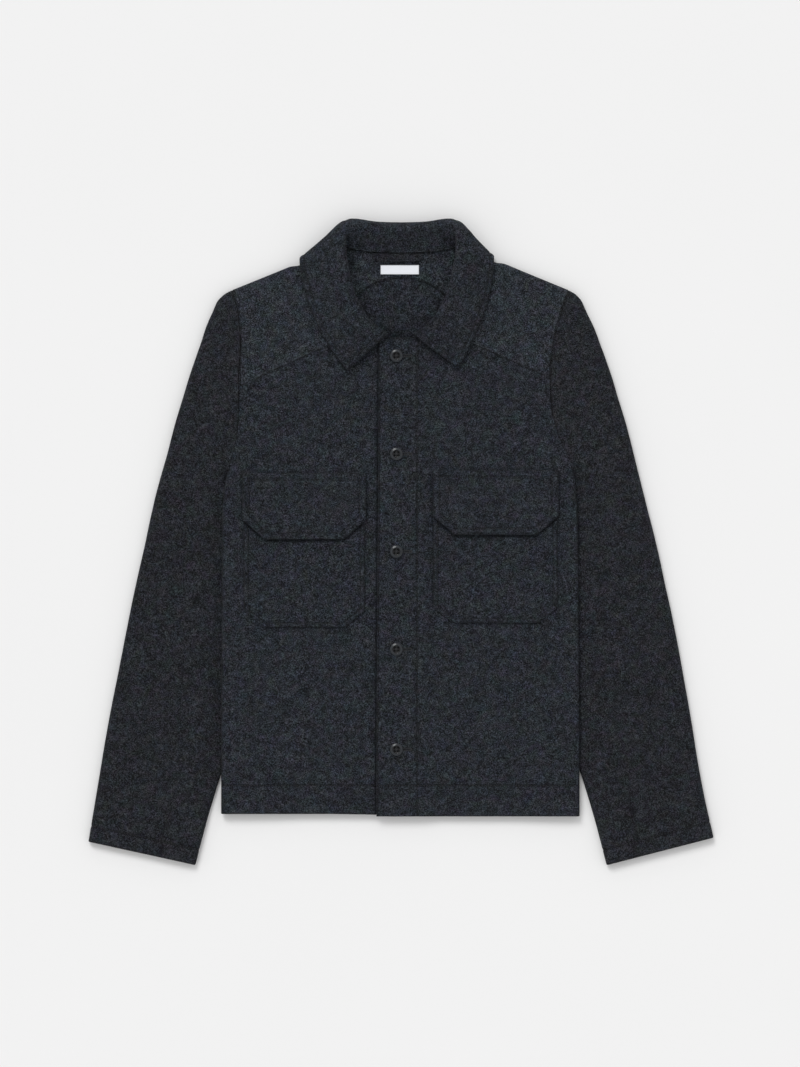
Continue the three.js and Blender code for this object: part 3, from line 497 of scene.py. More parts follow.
def facing_out(points, faces):
    """The faces, turned round if they make the closed shape inside out."""
    p = points[faces]
    volume = np.sum(p[:, 0] * np.cross(p[:, 1], p[:, 2])) + np.sum(p[:, 0] * np.cross(p[:, 2], p[:, 3]))
    return faces if volume > 0 else faces[:, ::-1]


def dress(piece, slot, *nodes):
    """Says that the piece rides on the root body, and hides the CAD nodes that it stands for. Its slot is not
    used.
    """
    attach(piece, "root")
    if nodes:
        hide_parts(*nodes)


def make_cloth(name, node, slot, grid, thick, rounds, material, **shell):
    points, faces, surface, painted_shade = cloth_shell(grid, thick, rounds, **shell)
    points[:, 2] = np.maximum(points[:, 2], LYING)
    piece = make_mesh(name, points, facing_out(points, faces), material)
    # The painted shade is kept on the points for the wool to darken by
    piece.data.attributes.new("painted_shade", "FLOAT", "POINT").data.foreach_set("value", painted_shade)
    dress(piece, slot, node)
    return piece, surface


# Sewing lines on the cloth
# A groove dips the cloth, and the cloth's painted shade darkens it too
def groove(distance, deep=GROOVE_DEEP, wide=GROOVE_WIDE):
    return -deep * np.exp(-((distance / wide) ** 2))


def welt(distance, inset):
    """The edge outside a line of stitches, which the stitches leave a little fuller."""
    return 0.5 * np.sin(np.pi * np.clip(distance / inset, 0, 1)) + groove(distance - inset)


def steps_along(grid, axis):
    """Distances from the first line of a grid along its rows or columns."""
    step = np.linalg.norm(np.diff(grid, axis=axis), axis=-1)
    start = np.zeros_like(np.take(step, [0], axis=axis))
    return np.cumsum(np.concatenate([start, step], axis=axis), axis=axis)


# Body panels
def beside_fold(sign, y, start, share, turn, height, other):
    """Points of a body panel: its flat part, then round the side fold by turn degrees."""
    folded = 1 - smooth(UNDERARM_Y, UNDERARM_Y + 7, y)
    edge = sign * (body_edge(SIDES[sign], y) - mix(SEAM / 2, HALF, folded))
    own = height(edge, y)
    middle = (own + other(edge, y)) / 2
    radius = np.abs(own - middle)
    turned = np.radians(turn)
    flat_x = mix(start, edge - sign * radius, share)
    round_x = edge - sign * radius * mix(1 - turn / 90, 1 - np.sin(turned), folded)
    x = np.where(turn == 0, flat_x, round_x)
    gap = SEAM / 2 * np.sign(own - middle) * smooth(60, 90, turn)
    drop = np.where(turn == 0, 0, (own - middle) * (1 - np.cos(turned)) - gap)
    return np.stack([x, y + 0 * x, height(x, y) - drop * folded], -1)


def panel_grid(sign, starts, shares, top_at, hem_at, height, other, pitch):
    """A body panel's grid: columns from starts out to the side fold and round it, rows from the hem."""
    turns = np.linspace(0, 90, FOLD_STEPS + 1)[1:]
    share = np.concatenate([shares, np.ones(len(turns))])
    turn = np.concatenate([np.zeros(len(shares)), turns])

    def place(y):
        return beside_fold(sign, y, starts(y), share, turn, height, other)

    top = np.full(len(share), 220.0)
    for _ in range(16):
        top = mix(top, top_at(place(top)[..., 0]), 0.7)
    hem = hem_at(place(np.full(len(share), HEM_Y["left"]))[..., 0])
    side_hem = float(hem[-1])
    low = spread(side_hem, UNDERARM_Y, pitch, [HEM_STITCH_Y])
    low = (low - side_hem) / (UNDERARM_Y - side_hem)
    high = np.linspace(0, 1, int(230 / pitch))[1:]
    rows = [mix(hem, UNDERARM_Y, s) for s in low] + [mix(UNDERARM_Y, top, s) for s in high]
    return place(np.array(rows))


def front_top(sign, x):
    out = np.abs(x)
    seam = table_y(YOKE_SEAM[SIDES[sign]], out)
    return np.where(x * sign > 38, seam + SEWN / 2, table_y(THROAT, np.minimum(out, 38)) - SEAM / 2)


def front_edge_x(y):
    """The free edge of the upper front."""
    return mix(EDGE_HEM_X, EDGE_TOP_X, smooth(-323, 240, y))


def front_grid(sign):
    side = SIDES[sign]
    height = front_height if sign < 0 else upper_front_height

    def inner(y):
        return front_edge_x(y) if sign > 0 else UNDER_FRONT_X + 0 * y

    start = EDGE_HEM_X if sign > 0 else UNDER_FRONT_X
    stop = sign * (body_edge(side, -60) - 6)
    seams = [PLACKET_STITCH_X] if sign > 0 else [(EDGE_HEM_X + EDGE_TOP_X) / 2]
    shares = (spread(start, stop, 3.3, seams) - start) / (stop - start)
    return panel_grid(sign, inner, shares, lambda x: front_top(sign, x), lambda x: HEM_Y[side] + 0 * x,
                      height, back_height, 3.3)


def hem_y(x):
    middle = (HEM_Y["right"] + HEM_Y["left"]) / 2
    side = np.where(x < 0, HEM_Y["right"], HEM_Y["left"])
    return mix(middle, side, smooth(0, 120, np.abs(x)))


def back_grid():
    halves = []
    for sign in (-1, 1):
        shares = np.linspace(0, 1, 56)
        halves.append(panel_grid(sign, lambda y: 0 * y, shares,
                                 lambda x: table_y(ARCH, np.abs(x)) + SEWN / 2, hem_y,
                                 back_height, front_height, 3.8))
    return np.concatenate([halves[0][:, ::-1], halves[1][:, 1:]], axis=1)


def hem_relief(grid):
    """The line of stitches round the hem, and the cloth turned up inside it."""
    above = grid[..., 1] - HEM_STITCH_Y
    return groove(above), HEM_TURNED * (1 - smooth(-2, 2, above))


# Collar
def collar_value(column, part, station):
    return through(np.arange(BACK_STATION + 1), [row[part] for row in COLLAR[column]], station)


def neckline(sign, station):
    return np.stack([sign * collar_value("neck", 0, station), collar_value("neck", 1, station)], -1)


def collar_knots(sign, station):
    """Knots of the collar's sections: neckline seam, top of the stand, turn, bend and free edge."""
    neck = neckline(sign, station)

    def place(column):
        x, y, z = (collar_value(column, part, station) for part in range(3))
        return [sign * x, y, z]

    stand, turn = place("stand"), place("turn")
    edge_side = SIDES[sign]
    edge = [sign * collar_value(edge_side, 0, station), collar_value(edge_side, 1, station),
            collar_value("edge_z", 0, station)]
    past = smooth(SHOULDER_STATION - 1, SHOULDER_STATION + 1, station)
    at_neck = (neck[..., 0], neck[..., 1])
    sewn_to = mix(top_height(*at_neck), back_height(*at_neck), past)
    lean = np.hypot(stand[0] - neck[..., 0], stand[1] - neck[..., 1])
    level = lean / np.hypot(lean, stand[2] - sewn_to)
    neck_z = sewn_to + HALF + SEAM + COLLAR_CLOTH / 2 * level
    share = collar_value("bend", 0, station)
    bend = [mix(turn[0], edge[0], share), mix(turn[1], edge[1], share),
            collar_value("bend", 1, station)]
    knots = [[neck[..., 0], neck[..., 1], neck_z], stand, turn, bend, edge]
    return np.stack([np.stack(np.broadcast_arrays(*k), -1) for k in knots], axis=-2)


def curve_through(knots, count):
    """Centripetal curves through rows of knots, resampled to count even steps."""
    first = 2 * knots[:, :1] - knots[:, 1:2]
    last = 2 * knots[:, -1:] - knots[:, -2:-1]
    k = np.concatenate([first, knots, last], axis=1)
    parts = []
    for s in range(1, k.shape[1] - 2):
        p = [k[:, s + d] for d in (-1, 0, 1, 2)]
        dt = [np.sqrt(np.linalg.norm(p[n + 1] - p[n], axis=-1, keepdims=True)) for n in range(3)]
        before = (p[1] - p[0]) / dt[0] - (p[2] - p[0]) / (dt[0] + dt[1]) + (p[2] - p[1]) / dt[1]
        after = (p[2] - p[1]) / dt[1] - (p[3] - p[1]) / (dt[1] + dt[2]) + (p[3] - p[2]) / dt[2]
        before, after = before * dt[1], after * dt[1]
        for t in np.linspace(0, 1, 25)[: None if s == k.shape[1] - 3 else -1]:
            a = 2 * t**3 - 3 * t**2 + 1
            b = t**3 - 2 * t**2 + t
            c = -2 * t**3 + 3 * t**2
            d = t**3 - t**2
            parts.append(a * p[1] + b * before + c * p[2] + d * after)
    line = np.stack(parts, axis=1)
    run = steps_along(line, 1)
    even = np.linspace(0, 1, count)
    rows = [[np.interp(even * r[-1], r, points[:, axis]) for axis in range(3)]
            for r, points in zip(run, line)]
    return np.transpose(np.array(rows), (0, 2, 1))


def collar_grid():
    stations = np.linspace(0, BACK_STATION, 130)
    halves = []
    for sign in (-1, 1):
        half = curve_through(collar_knots(sign, stations), 66)
        half[..., 2] = np.maximum(half[..., 2], COLLAR_CLOTH / 2 + 0.1)
        halves.append(half)
    return np.concatenate([halves[0], halves[1][::-1][1:]])


# Yoke
def yoke_half(sign, pitch):
    """Half of the yoke: from the front seam over the shoulder fold to the centre back."""
    side = SIDES[sign]
    tip = np.array([sign * body_edge(side, SHOULDER_TIP_Y), SHOULDER_TIP_Y])
    neck = neckline(sign, SHOULDER_STATION)
    way = (tip - neck) / np.linalg.norm(tip - neck)
    square = np.array([-way[1], way[0]]) * sign
    reach = COLLAR[side][SHOULDER_STATION][0]
    corner = YOKE_SEAM[side][1][1]
    for _ in range(12):
        corner = float(table_y(YOKE_SEAM[side], body_edge(side, corner)))
    back_corner = 220.0
    for _ in range(12):
        back_corner = float(table_y(ARCH, body_edge(side, back_corner)))
    across = np.linspace(0, 1, 44)

    def fold_gap(p):
        tuck = COLLAR_TUCK * (1 - smooth(reach, reach + 14, np.abs(p[..., 0])))
        return (neck - p) @ square - HALF - tuck

    def seam_edge(y):
        return sign * (body_edge(side, y) - SEAM / 2)

    def front(share):
        y = mix(corner, SHOULDER_TIP_Y, share)
        outer = np.stack([seam_edge(y), y], -1)
        inner = neckline(sign, mix(YOKE_STATION, SHOULDER_STATION, share))
        p = mix(inner, outer, across[:, None])
        return p - np.stack([0 * share, SEWN / 2 * (1 - share)], -1)

    def back(share):
        t = 1 - share
        at_corner = 0.3
        y = mix(SHOULDER_TIP_Y, back_corner, np.clip(t / at_corner, 0, 1))
        out = body_edge(side, back_corner) * (1 - np.clip((t - at_corner) / (1 - at_corner), 0, 1))
        arch = np.stack([sign * out, table_y(ARCH, out) - SEWN / 2], -1)
        outer = np.where((t < at_corner)[:, None], np.stack([seam_edge(y), y], -1), arch)
        inner = neckline(sign, mix(SHOULDER_STATION, BACK_STATION, t**1.25))
        return mix(inner, outer, across[:, None])

    def at_gap(layer, gap):
        lo, hi = np.full(len(across), 0.2), np.ones(len(across))
        for _ in range(34):
            share = (lo + hi) / 2
            below = fold_gap(layer(share)) > gap
            lo, hi = np.where(below, share, lo), np.where(below, hi, share)
        return lo

    ones = np.ones(len(across))
    fold = front(ones)
    high, low = front_height(fold[:, 0], fold[:, 1]), back_height(fold[:, 0], fold[:, 1])
    radius = (high - low) / 2
    rows = []
    end = at_gap(front, radius)
    for s in np.linspace(0, 1, int(100 / pitch)):
        p = front(s * end)
        rows.append(np.concatenate([p, front_height(p[:, 0], p[:, 1])[:, None]], -1))
    for turn in np.linspace(0, np.pi, 13)[1:-1]:
        layer = front if turn <= np.pi / 2 else back
        p = layer(at_gap(layer, radius * (1 - np.sin(turn))))
        z = (high + low) / 2 + radius * np.cos(turn)
        rows.append(np.concatenate([p, z[:, None]], -1))
    end = at_gap(back, radius)
    shares = [mix(end, 0.7, s) for s in np.linspace(0, 1, int(70 / pitch))]
    shares += [mix(0.7, 0.0, s) * ones for s in np.linspace(0, 1, int(190 / pitch))[1:]]
    for share in shares:
        p = back(share)
        rows.append(np.concatenate([p, back_height(p[:, 0], p[:, 1])[:, None]], -1))
    return np.array(rows)


def yoke_grid():
    pitch = 3.2
    return np.concatenate([yoke_half(-1, pitch), yoke_half(1, pitch)[::-1][1:]])


# Sleeves
def sleeve_fold(sign, column, s):
    side = SIDES[sign]
    out = through(SLEEVE["at"], [p[0] for p in SLEEVE[column]], s)
    y = through(SLEEVE["at"], [p[1] for p in SLEEVE[column]], s)
    if column == "inner":
        out = out + (body_edge(side, y) - body_edge("right", y)) * (1 - smooth(0.08, 0.25, s))
    return np.array([float(out), float(y)])


def way_in(sign, column, s, chord):
    """The way into the sleeve from a fold: along the armhole at first, then square to the fold."""
    along = sleeve_fold(sign, column, min(s + 0.02, 1)) - sleeve_fold(sign, column, max(s - 0.02, 0))
    flip = np.sign(-along[1] * chord[0] + along[0] * chord[1])
    square = np.array([-along[1], along[0]]) * flip / np.linalg.norm(along)
    way = mix(chord, square, smooth(0, 0.05, s))
    return way / np.linalg.norm(way)


def sleeve_ring(sign, s, flat_steps, fold_turns):
    side = SIDES[sign]
    fade = np.clip(1 - s / ARMHOLE_REACH, 0, 1) ** 2
    outer, inner = sleeve_fold(sign, side, s), sleeve_fold(sign, "inner", s)
    chord = inner - outer
    length = np.linalg.norm(chord)
    along = chord / length
    join = 1 - smooth(0, 0.03, s)

    def bent(p, share):
        y = mix(SHOULDER_TIP_Y, UNDERARM_Y, share)
        straight = mix(body_edge(side, SHOULDER_TIP_Y), body_edge(side, UNDERARM_Y), share)
        shift = (body_edge(side, y) - straight - SEWN - UNDERARM_EASE * share**3) * fade
        return np.stack([p[..., 0] + shift, p[..., 1]], -1)

    def top_at(q):
        joined = front_height(sign * q[..., 0], q[..., 1])
        return mix(sleeve_height(sign, q[..., 0], q[..., 1]), joined, join)

    def fold_at(corner, way, at_outer):
        high = float(top_at(corner))
        radius = (high - HALF) / 2
        far = HALF + radius * (1 - np.sin(fold_turns))
        share = far / length if at_outer else 1 - far / length
        q = bent(corner + way * far[:, None], share)
        roll = np.stack([sign * q[:, 0], q[:, 1], (high + HALF) / 2 + radius * np.cos(fold_turns)], -1)
        return roll, corner + way * (HALF + radius), (HALF + radius) / length

    outer_roll, start, first = fold_at(outer, way_in(sign, side, s, along), True)
    inner_roll, stop, last = fold_at(inner, way_in(sign, "inner", s, -along), False)
    t = flat_steps[:, None]
    q = bent(mix(start, stop, t), mix(first, 1 - last, flat_steps))
    edge_fade = smooth(0, 0.12, flat_steps) * (1 - smooth(0.88, 1, flat_steps))
    under = HALF + under_sleeve_lift(sign, q[:, 0], q[:, 1]) * edge_fade
    top = np.stack([sign * q[:, 0], q[:, 1], top_at(q)], -1)
    bottom = np.stack([sign * q[:, 0], q[:, 1], under], -1)[::-1]
    return np.concatenate([top, inner_roll, bottom, outer_roll[::-1]])


def sleeve_grid(sign):
    near = np.linspace(0, 0.1, 30)
    rest = spread(0.1, 1, 0.0062, [1 - CUFF_HEM / 745], reach=0.0045, fine=0.0011)[1:]
    flat_steps = np.linspace(0, 1, 48)
    fold_turns = np.linspace(0, np.pi, 11)[1:-1]
    return np.array([sleeve_ring(sign, float(s), flat_steps, fold_turns) for s in [*near, *rest]])


def vent_relief(grid):
    """The short seam above each cuff, on the sleeve's upper side only."""
    side = "right" if grid[..., 0].mean() < 0 else "left"
    (x0, y0), (x1, y1) = VENTS[side]
    length = math.hypot(x1 - x0, y1 - y0)
    along = ((grid[..., 0] - x0) * (x1 - x0) + (grid[..., 1] - y0) * (y1 - y0)) / length
    off = ((grid[..., 0] - x0) * (y1 - y0) - (grid[..., 1] - y0) * (x1 - x0)) / length
    upper = grid[..., 2] > SLEEVE_HEIGHT / 2
    return groove(off) * smooth(-2, 3, along) * (1 - smooth(length - 2, length + 6, along)) * upper


def cuff_relief(grid):
    run = steps_along(grid[::-1], 0)[::-1]
    outer = groove(run - CUFF_HEM) + vent_relief(grid)
    return outer, HEM_TURNED * (1 - smooth(CUFF_HEM - 2, CUFF_HEM + 2, run))


# Pockets and flaps
def patch_grid(shape, height, pitch):
    width = shape["stop"] - shape["start"]
    cut = shape["cut_x"] / width
    ends = np.linspace(0, cut, int(shape["cut_x"] / pitch) + 1)
    middle = np.linspace(cut, 1 - cut, int((width - 2 * shape["cut_x"]) / pitch))[1:-1]
    share = np.concatenate([ends, middle, 1 - ends[::-1]])
    x = mix(shape["start"], shape["stop"], share)[None, :]
    corner = shape["cut_y"] * (1 - np.clip(np.minimum(share, 1 - share) / cut, 0, 1))
    rows = np.linspace(0, 1, int((shape["top"] - shape["bottom"]) / pitch) + 1)[:, None]
    y = mix(shape["bottom"] + corner[None, :], shape["top"], rows)
    x = x + 0 * y
    return np.stack([x, y, height(x, y)], -1)


def from_edge(shape, x, y):
    """Distance in from the nearest of a patch's sides, bottom and cut corners."""
    size = math.hypot(shape["cut_x"], shape["cut_y"])
    cuts = []
    for inside in (x - shape["start"], shape["stop"] - x):
        area = inside * shape["cut_y"] + (y - shape["bottom"]) * shape["cut_x"]
        cuts.append((area - shape["cut_x"] * shape["cut_y"]) / size)
    sides = np.minimum(x - shape["start"], shape["stop"] - x)
    return np.minimum(np.minimum(sides, y - shape["bottom"]), np.minimum(*cuts))


def stitch_route(shape, inset, top):
    """The line of stitches inside a patch's edge, from its top down, round the bottom and up again."""
    size = math.hypot(shape["cut_x"], shape["cut_y"])
    left, right = shape["start"] + inset, shape["stop"] - inset
    low = shape["bottom"] + inset
    run = (inset * size + shape["cut_x"] * shape["cut_y"])
    side_y = shape["bottom"] + (run - inset * shape["cut_y"]) / shape["cut_x"]
    low_x = (run - inset * shape["cut_x"]) / shape["cut_y"]
    return [(left, top), (left, side_y), (shape["start"] + low_x, low), (shape["stop"] - low_x, low),
            (right, side_y), (right, top)]


def panel_height(sign):
    return front_height if sign < 0 else upper_front_height


def pocket_height(sign):
    return lambda x, y: panel_height(sign)(x, y) + HALF + SEAM + POCKET_CLOTH / 2


def flap_height(sign):
    shape, pocket_top = FLAPS[SIDES[sign]], POCKETS[SIDES[sign]]["top"]

    def height(x, y):
        over_pocket = (POCKET_CLOTH + SEAM) * (1 - smooth(pocket_top + 3, pocket_top + 16, y))
        lift = FLAP_LIFT * (1 - smooth(shape["bottom"], shape["bottom"] + 45, y))
        return panel_height(sign)(x, y) + HALF + SEAM + FLAP_CLOTH / 2 + over_pocket + lift

    return height


# Materials
def add_node(tree, kind, inputs=(), **settings):
    """A node with its settings, and values or links on the inputs that are given by name or number."""
    node = tree.nodes.new(kind)
    for key, value in settings.items():
        setattr(node, key, value)
    for key, value in dict(inputs).items():
        if isinstance(value, bpy.types.NodeSocket):
            tree.links.new(value, node.inputs[key])
        else:
            node.inputs[key].default_value = value
    return node


def math_node(tree, operation, a, b=0.0, clamp=False):
    node = add_node(tree, "ShaderNodeMath", {0: a, 1: b}, operation=operation, use_clamp=clamp)
    return node.outputs[0]


def mix_colour(tree, a, b, share, blend="MIX"):
    node = add_node(tree, "ShaderNodeMix", {0: share, 6: a, 7: b}, data_type="RGBA", blend_type=blend)
    return node.outputs[2]


def noise(tree, at, scale, detail=2.0, distortion=0.0, rough=0.5):
    return add_node(tree, "ShaderNodeTexNoise", {"Vector": at, "Scale": scale, "Detail": detail,
                                                 "Roughness": rough, "Distortion": distortion})


def thin_lines(tree, at, scale, distortion, sharp):
    """Curling hairs: the places where a noise passes its middle value."""
    value = noise(tree, at, scale, 1.0, distortion).outputs["Fac"]
    away = math_node(tree, "ABSOLUTE", math_node(tree, "SUBTRACT", value, 0.5))
    return math_node(tree, "SUBTRACT", 1.0, math_node(tree, "MULTIPLY", away, sharp), clamp=True)


def boiled_wool_group():
    """Felted melange wool: dark ground, paler curling hairs, soft tints, a nubbly surface and painted shade.
    """
    tree = bpy.data.node_groups.new("boiled wool", "ShaderNodeTree")
    made = {"Ground": "NodeSocketColor", "Fleck": "NodeSocketColor", "Fleck share": "NodeSocketFloat",
            "Tint": "NodeSocketFloat", "Painted shade": "NodeSocketFloat"}
    for name, kind in made.items():
        tree.interface.new_socket(name, in_out="INPUT", socket_type=kind)
    for name, kind in {"Color": "NodeSocketColor", "Roughness": "NodeSocketFloat",
                       "Height": "NodeSocketFloat"}.items():
        tree.interface.new_socket(name, in_out="OUTPUT", socket_type=kind)
    given = tree.nodes.new("NodeGroupInput").outputs
    at = tree.nodes.new("ShaderNodeTexCoord").outputs["Object"]
    long_hairs = thin_lines(tree, at, 230.0, 1.4, 9.0)
    short_hairs = thin_lines(tree, at, 520.0, 1.0, 6.0)
    fine_hairs = thin_lines(tree, at, 1500.0, 1.2, 8.0)
    patches = noise(tree, at, 150.0, 3.0, 0.4).outputs["Fac"]
    speckle = noise(tree, at, 760.0, 2.0, 0.0, 0.6).outputs["Fac"]
    hairs = math_node(tree, "MAXIMUM", long_hairs, math_node(tree, "MULTIPLY", short_hairs, 0.8))
    where = math_node(tree, "SUBTRACT", math_node(tree, "MULTIPLY", patches, 1.4), 0.1, clamp=True)
    pale = math_node(tree, "MULTIPLY", math_node(tree, "MULTIPLY", hairs, where), given["Fleck share"])
    grain = math_node(tree, "MULTIPLY", math_node(tree, "SUBTRACT", speckle, 0.525), 2.6)
    # Painted shade: where it is painted, the pale hairs give way to the dark ground
    shade_share = math_node(tree, "MULTIPLY", given["Painted shade"], 0.8)
    unshaded = math_node(tree, "SUBTRACT", 1.0, shade_share, clamp=True)
    loose_hairs = math_node(tree, "MULTIPLY", thin_lines(tree, at, 170.0, 2.6, 26.0), where)
    grain = math_node(tree, "ADD", grain, math_node(tree, "MULTIPLY", fine_hairs, 0.5))
    amount = math_node(tree, "POWER", math_node(tree, "ADD", pale, grain, clamp=True), 2.3)
    amount = math_node(tree, "ADD", amount, math_node(tree, "MULTIPLY", loose_hairs, 0.95))
    base = mix_colour(tree, given["Ground"], given["Fleck"], math_node(tree, "MULTIPLY", amount, unshaded))
    tint = noise(tree, at, 80.0, 2.0, 0.8).outputs["Color"]
    colour = mix_colour(tree, base, tint, given["Tint"], "OVERLAY")
    nubs = noise(tree, at, 260.0, 4.0, 0.6, 0.65).outputs["Fac"]
    raised = math_node(tree, "ADD", math_node(tree, "MULTIPLY", hairs, 0.35),
                       math_node(tree, "MULTIPLY", fine_hairs, 0.12))
    height = math_node(tree, "ADD", nubs, raised)
    rough = math_node(tree, "ADD", math_node(tree, "MULTIPLY", speckle, 0.12), 0.86)
    add_node(tree, "NodeGroupOutput", {"Color": colour, "Roughness": rough, "Height": height})
    return tree


def new_material(name):
    material = bpy.data.materials.new(name)
    material.use_nodes = True
    tree = material.node_tree
    return material, tree, tree.nodes["Principled BSDF"]


def bump(tree, shader, height, strength, distance):
    inputs = {"Strength": strength, "Distance": distance, "Height": height}
    node = add_node(tree, "ShaderNodeBump", inputs)
    tree.links.new(node.outputs["Normal"], shader.inputs["Normal"])


def grey(r, g, b):
    """A colour from screen values of 0 to 255."""
    return tuple(((v / 255 + 0.055) / 1.055) ** 2.4 for v in (r, g, b)) + (1.0,)


def wool_material(name, group, ground, fleck, share=0.7, tint=0.26):
    material, tree, shader = new_material(name)
    wool = tree.nodes.new("ShaderNodeGroup")
    wool.node_tree = group
    wool.inputs["Ground"].default_value = ground
    wool.inputs["Fleck"].default_value = fleck
    wool.inputs["Fleck share"].default_value = share
    wool.inputs["Tint"].default_value = tint
    # The cloth's painted shade darkens the wool
    painted_shade = add_node(tree, "ShaderNodeAttribute", attribute_name="painted_shade").outputs["Fac"]
    tree.links.new(painted_shade, wool.inputs["Painted shade"])
    tree.links.new(wool.outputs["Color"], shader.inputs["Base Color"])
    tree.links.new(wool.outputs["Roughness"], shader.inputs["Roughness"])
    bump(tree, shader, wool.outputs["Height"], 0.6, 0.9 * MM)
    shader.inputs["Sheen Weight"].default_value = 0.02
    shader.inputs["Sheen Roughness"].default_value = 0.6
    shader.inputs["Specular IOR Level"].default_value = 0.1
    return material


def thread_material():
    material, tree, shader = new_material("sewing thread")
    at = tree.nodes.new("ShaderNodeTexCoord").outputs["Object"]
    twist = noise(tree, at, 2400.0, 2.0).outputs["Fac"]
    colour = mix_colour(tree, grey(12, 13, 16), grey(28, 30, 34), twist)
    tree.links.new(colour, shader.inputs["Base Color"])
    rough = math_node(tree, "ADD", math_node(tree, "MULTIPLY", twist, 0.2), 0.55)
    tree.links.new(rough, shader.inputs["Roughness"])
    bump(tree, shader, twist, 0.5, 0.15 * MM)
    return material


def horn_material():
    """Dark polished horn: cloudy streaks under a soft shine, with shade painted into the well."""
    material, tree, shader = new_material("button horn")
    at = tree.nodes.new("ShaderNodeTexCoord").outputs["Object"]
    streaks = noise(tree, at, 160.0, 3.0, 2.2).outputs["Fac"]
    fine = noise(tree, at, 900.0, 2.0).outputs["Fac"]
    # Painted shade: the well is painted near black
    well = add_node(tree, "ShaderNodeAttribute", attribute_name="painted_shade").outputs["Fac"]
    colour = mix_colour(tree, grey(13, 14, 16), grey(50, 55, 60), streaks)
    colour = mix_colour(tree, colour, grey(3, 3, 4), math_node(tree, "MULTIPLY", well, 0.9))
    tree.links.new(colour, shader.inputs["Base Color"])
    rough = math_node(tree, "ADD", math_node(tree, "MULTIPLY", fine, 0.16), 0.16)
    tree.links.new(rough, shader.inputs["Roughness"])
    bump(tree, shader, fine, 0.12, 0.1 * MM)
    shader.inputs["Specular IOR Level"].default_value = 0.32
    return material


def tape_material():
    """The label's plain woven tape."""
    material, tree, shader = new_material("label tape")
    at = tree.nodes.new("ShaderNodeTexCoord").outputs["Object"]
    threads = []
    for turn in ((0.0, 0.0, 0.0), (0.0, 0.0, math.pi / 2)):
        turned = add_node(tree, "ShaderNodeMapping", {"Vector": at, "Rotation": turn}).outputs["Vector"]
        inputs = {"Vector": turned, "Scale": 520.0, "Distortion": 0.4}
        wave = add_node(tree, "ShaderNodeTexWave", inputs, bands_direction="X")
        threads.append(wave.outputs["Fac"])
    weave = math_node(tree, "MULTIPLY", *threads)
    colour = mix_colour(tree, grey(222, 225, 231), grey(244, 246, 250), weave)
    tree.links.new(colour, shader.inputs["Base Color"])
    uneven = noise(tree, at, 300.0, 2.0).outputs["Fac"]
    rough = math_node(tree, "ADD", math_node(tree, "MULTIPLY", uneven, 0.2), 0.6)
    tree.links.new(rough, shader.inputs["Roughness"])
    bump(tree, shader, weave, 0.4, 0.12 * MM)
    return material


def floor_material():
    material, tree, shader = new_material("pale floor")
    at = tree.nodes.new("ShaderNodeTexCoord").outputs["Object"]
    uneven = noise(tree, at, 3.0, 2.0).outputs["Fac"]
    colour = mix_colour(tree, grey(232, 232, 232), grey(234, 234, 234), uneven)
    tree.links.new(colour, shader.inputs["Base Color"])
    shader.inputs["Roughness"].default_value = 0.9
    return material


wool_group = boiled_wool_group()
# One wool in three copies: the yoke's copy is painted lighter and a little cooler, as painted light, and the
# sleeves' copy darker, as painted shade, which the hanger loop takes too
wool_body = wool_material("wool body", wool_group, grey(4, 6, 8), grey(68, 73, 82))
shaded_wool_sleeves = wool_material("wool sleeves painted darker", wool_group, grey(4, 5, 7), grey(63, 66, 73))
lit_wool_top = wool_material("wool yoke painted lighter", wool_group, grey(6, 8, 10), grey(76, 82, 91))
thread = thread_material()
horn = horn_material()
tape = tape_material()


def make_back():
    grid = back_grid()
    relief, inner_relief = hem_relief(grid)
    piece, surface = make_cloth("back_panel", "back", "wool", grid, CLOTH, (1.0, 0.9, 0.3, 0.3),
                                wool_body, up=False, relief=relief, inner_relief=inner_relief)
    return piece, surface


def make_yoke(back):
    piece, _ = make_cloth("yoke_panel", "yoke", "wool", yoke_grid(), CLOTH, (0.9, 0.9, 0.5, 0.9),
                          lit_wool_top)
    return piece


def make_front(sign, back):
    side = SIDES[sign]
    grid = front_grid(sign)
    relief, inner_relief = hem_relief(grid)
    if sign > 0:
        relief = relief + groove(grid[..., 0] - PLACKET_STITCH_X)
    else:
        # A crevice under the upper front's edge: a real dip, and shade is painted into it as well
        relief = relief + groove(grid[..., 0] - front_edge_x(grid[..., 1]) + 0.8, 0.8, 1.3)
    # Painted shadow along the side fold, where the cloth turns under, up to the underarm
    rolled = np.zeros(grid.shape[:2])
    rolled[:, -FOLD_STEPS:] = np.linspace(0, 1, FOLD_STEPS + 1)[1:] ** 1.5
    rolled *= 1 - smooth(UNDERARM_Y - 5, UNDERARM_Y + 7, grid[..., 1])
    piece, _ = make_cloth(f"front_panel_{side}", f"front_{side}", "wool", grid, CLOTH,
                          (1.0, 0.9, 1.0, 0.3), wool_body, relief=relief, inner_relief=inner_relief,
                          rolled=rolled)
    return piece


def make_sleeve(sign):
    side = SIDES[sign]
    grid = sleeve_grid(sign)
    relief, inner_relief = cuff_relief(grid)
    piece, surface = make_cloth(f"sleeve_tube_{side}", f"sleeve_{side}", "wool", grid, CLOTH,
                                (0.9, 1.0), shaded_wool_sleeves, ring=True, relief=relief,
                                inner_relief=inner_relief)
    run = steps_along(grid[::-1], 0)[::-1]
    return piece, line_at(surface, run, CUFF_HEM, 0)


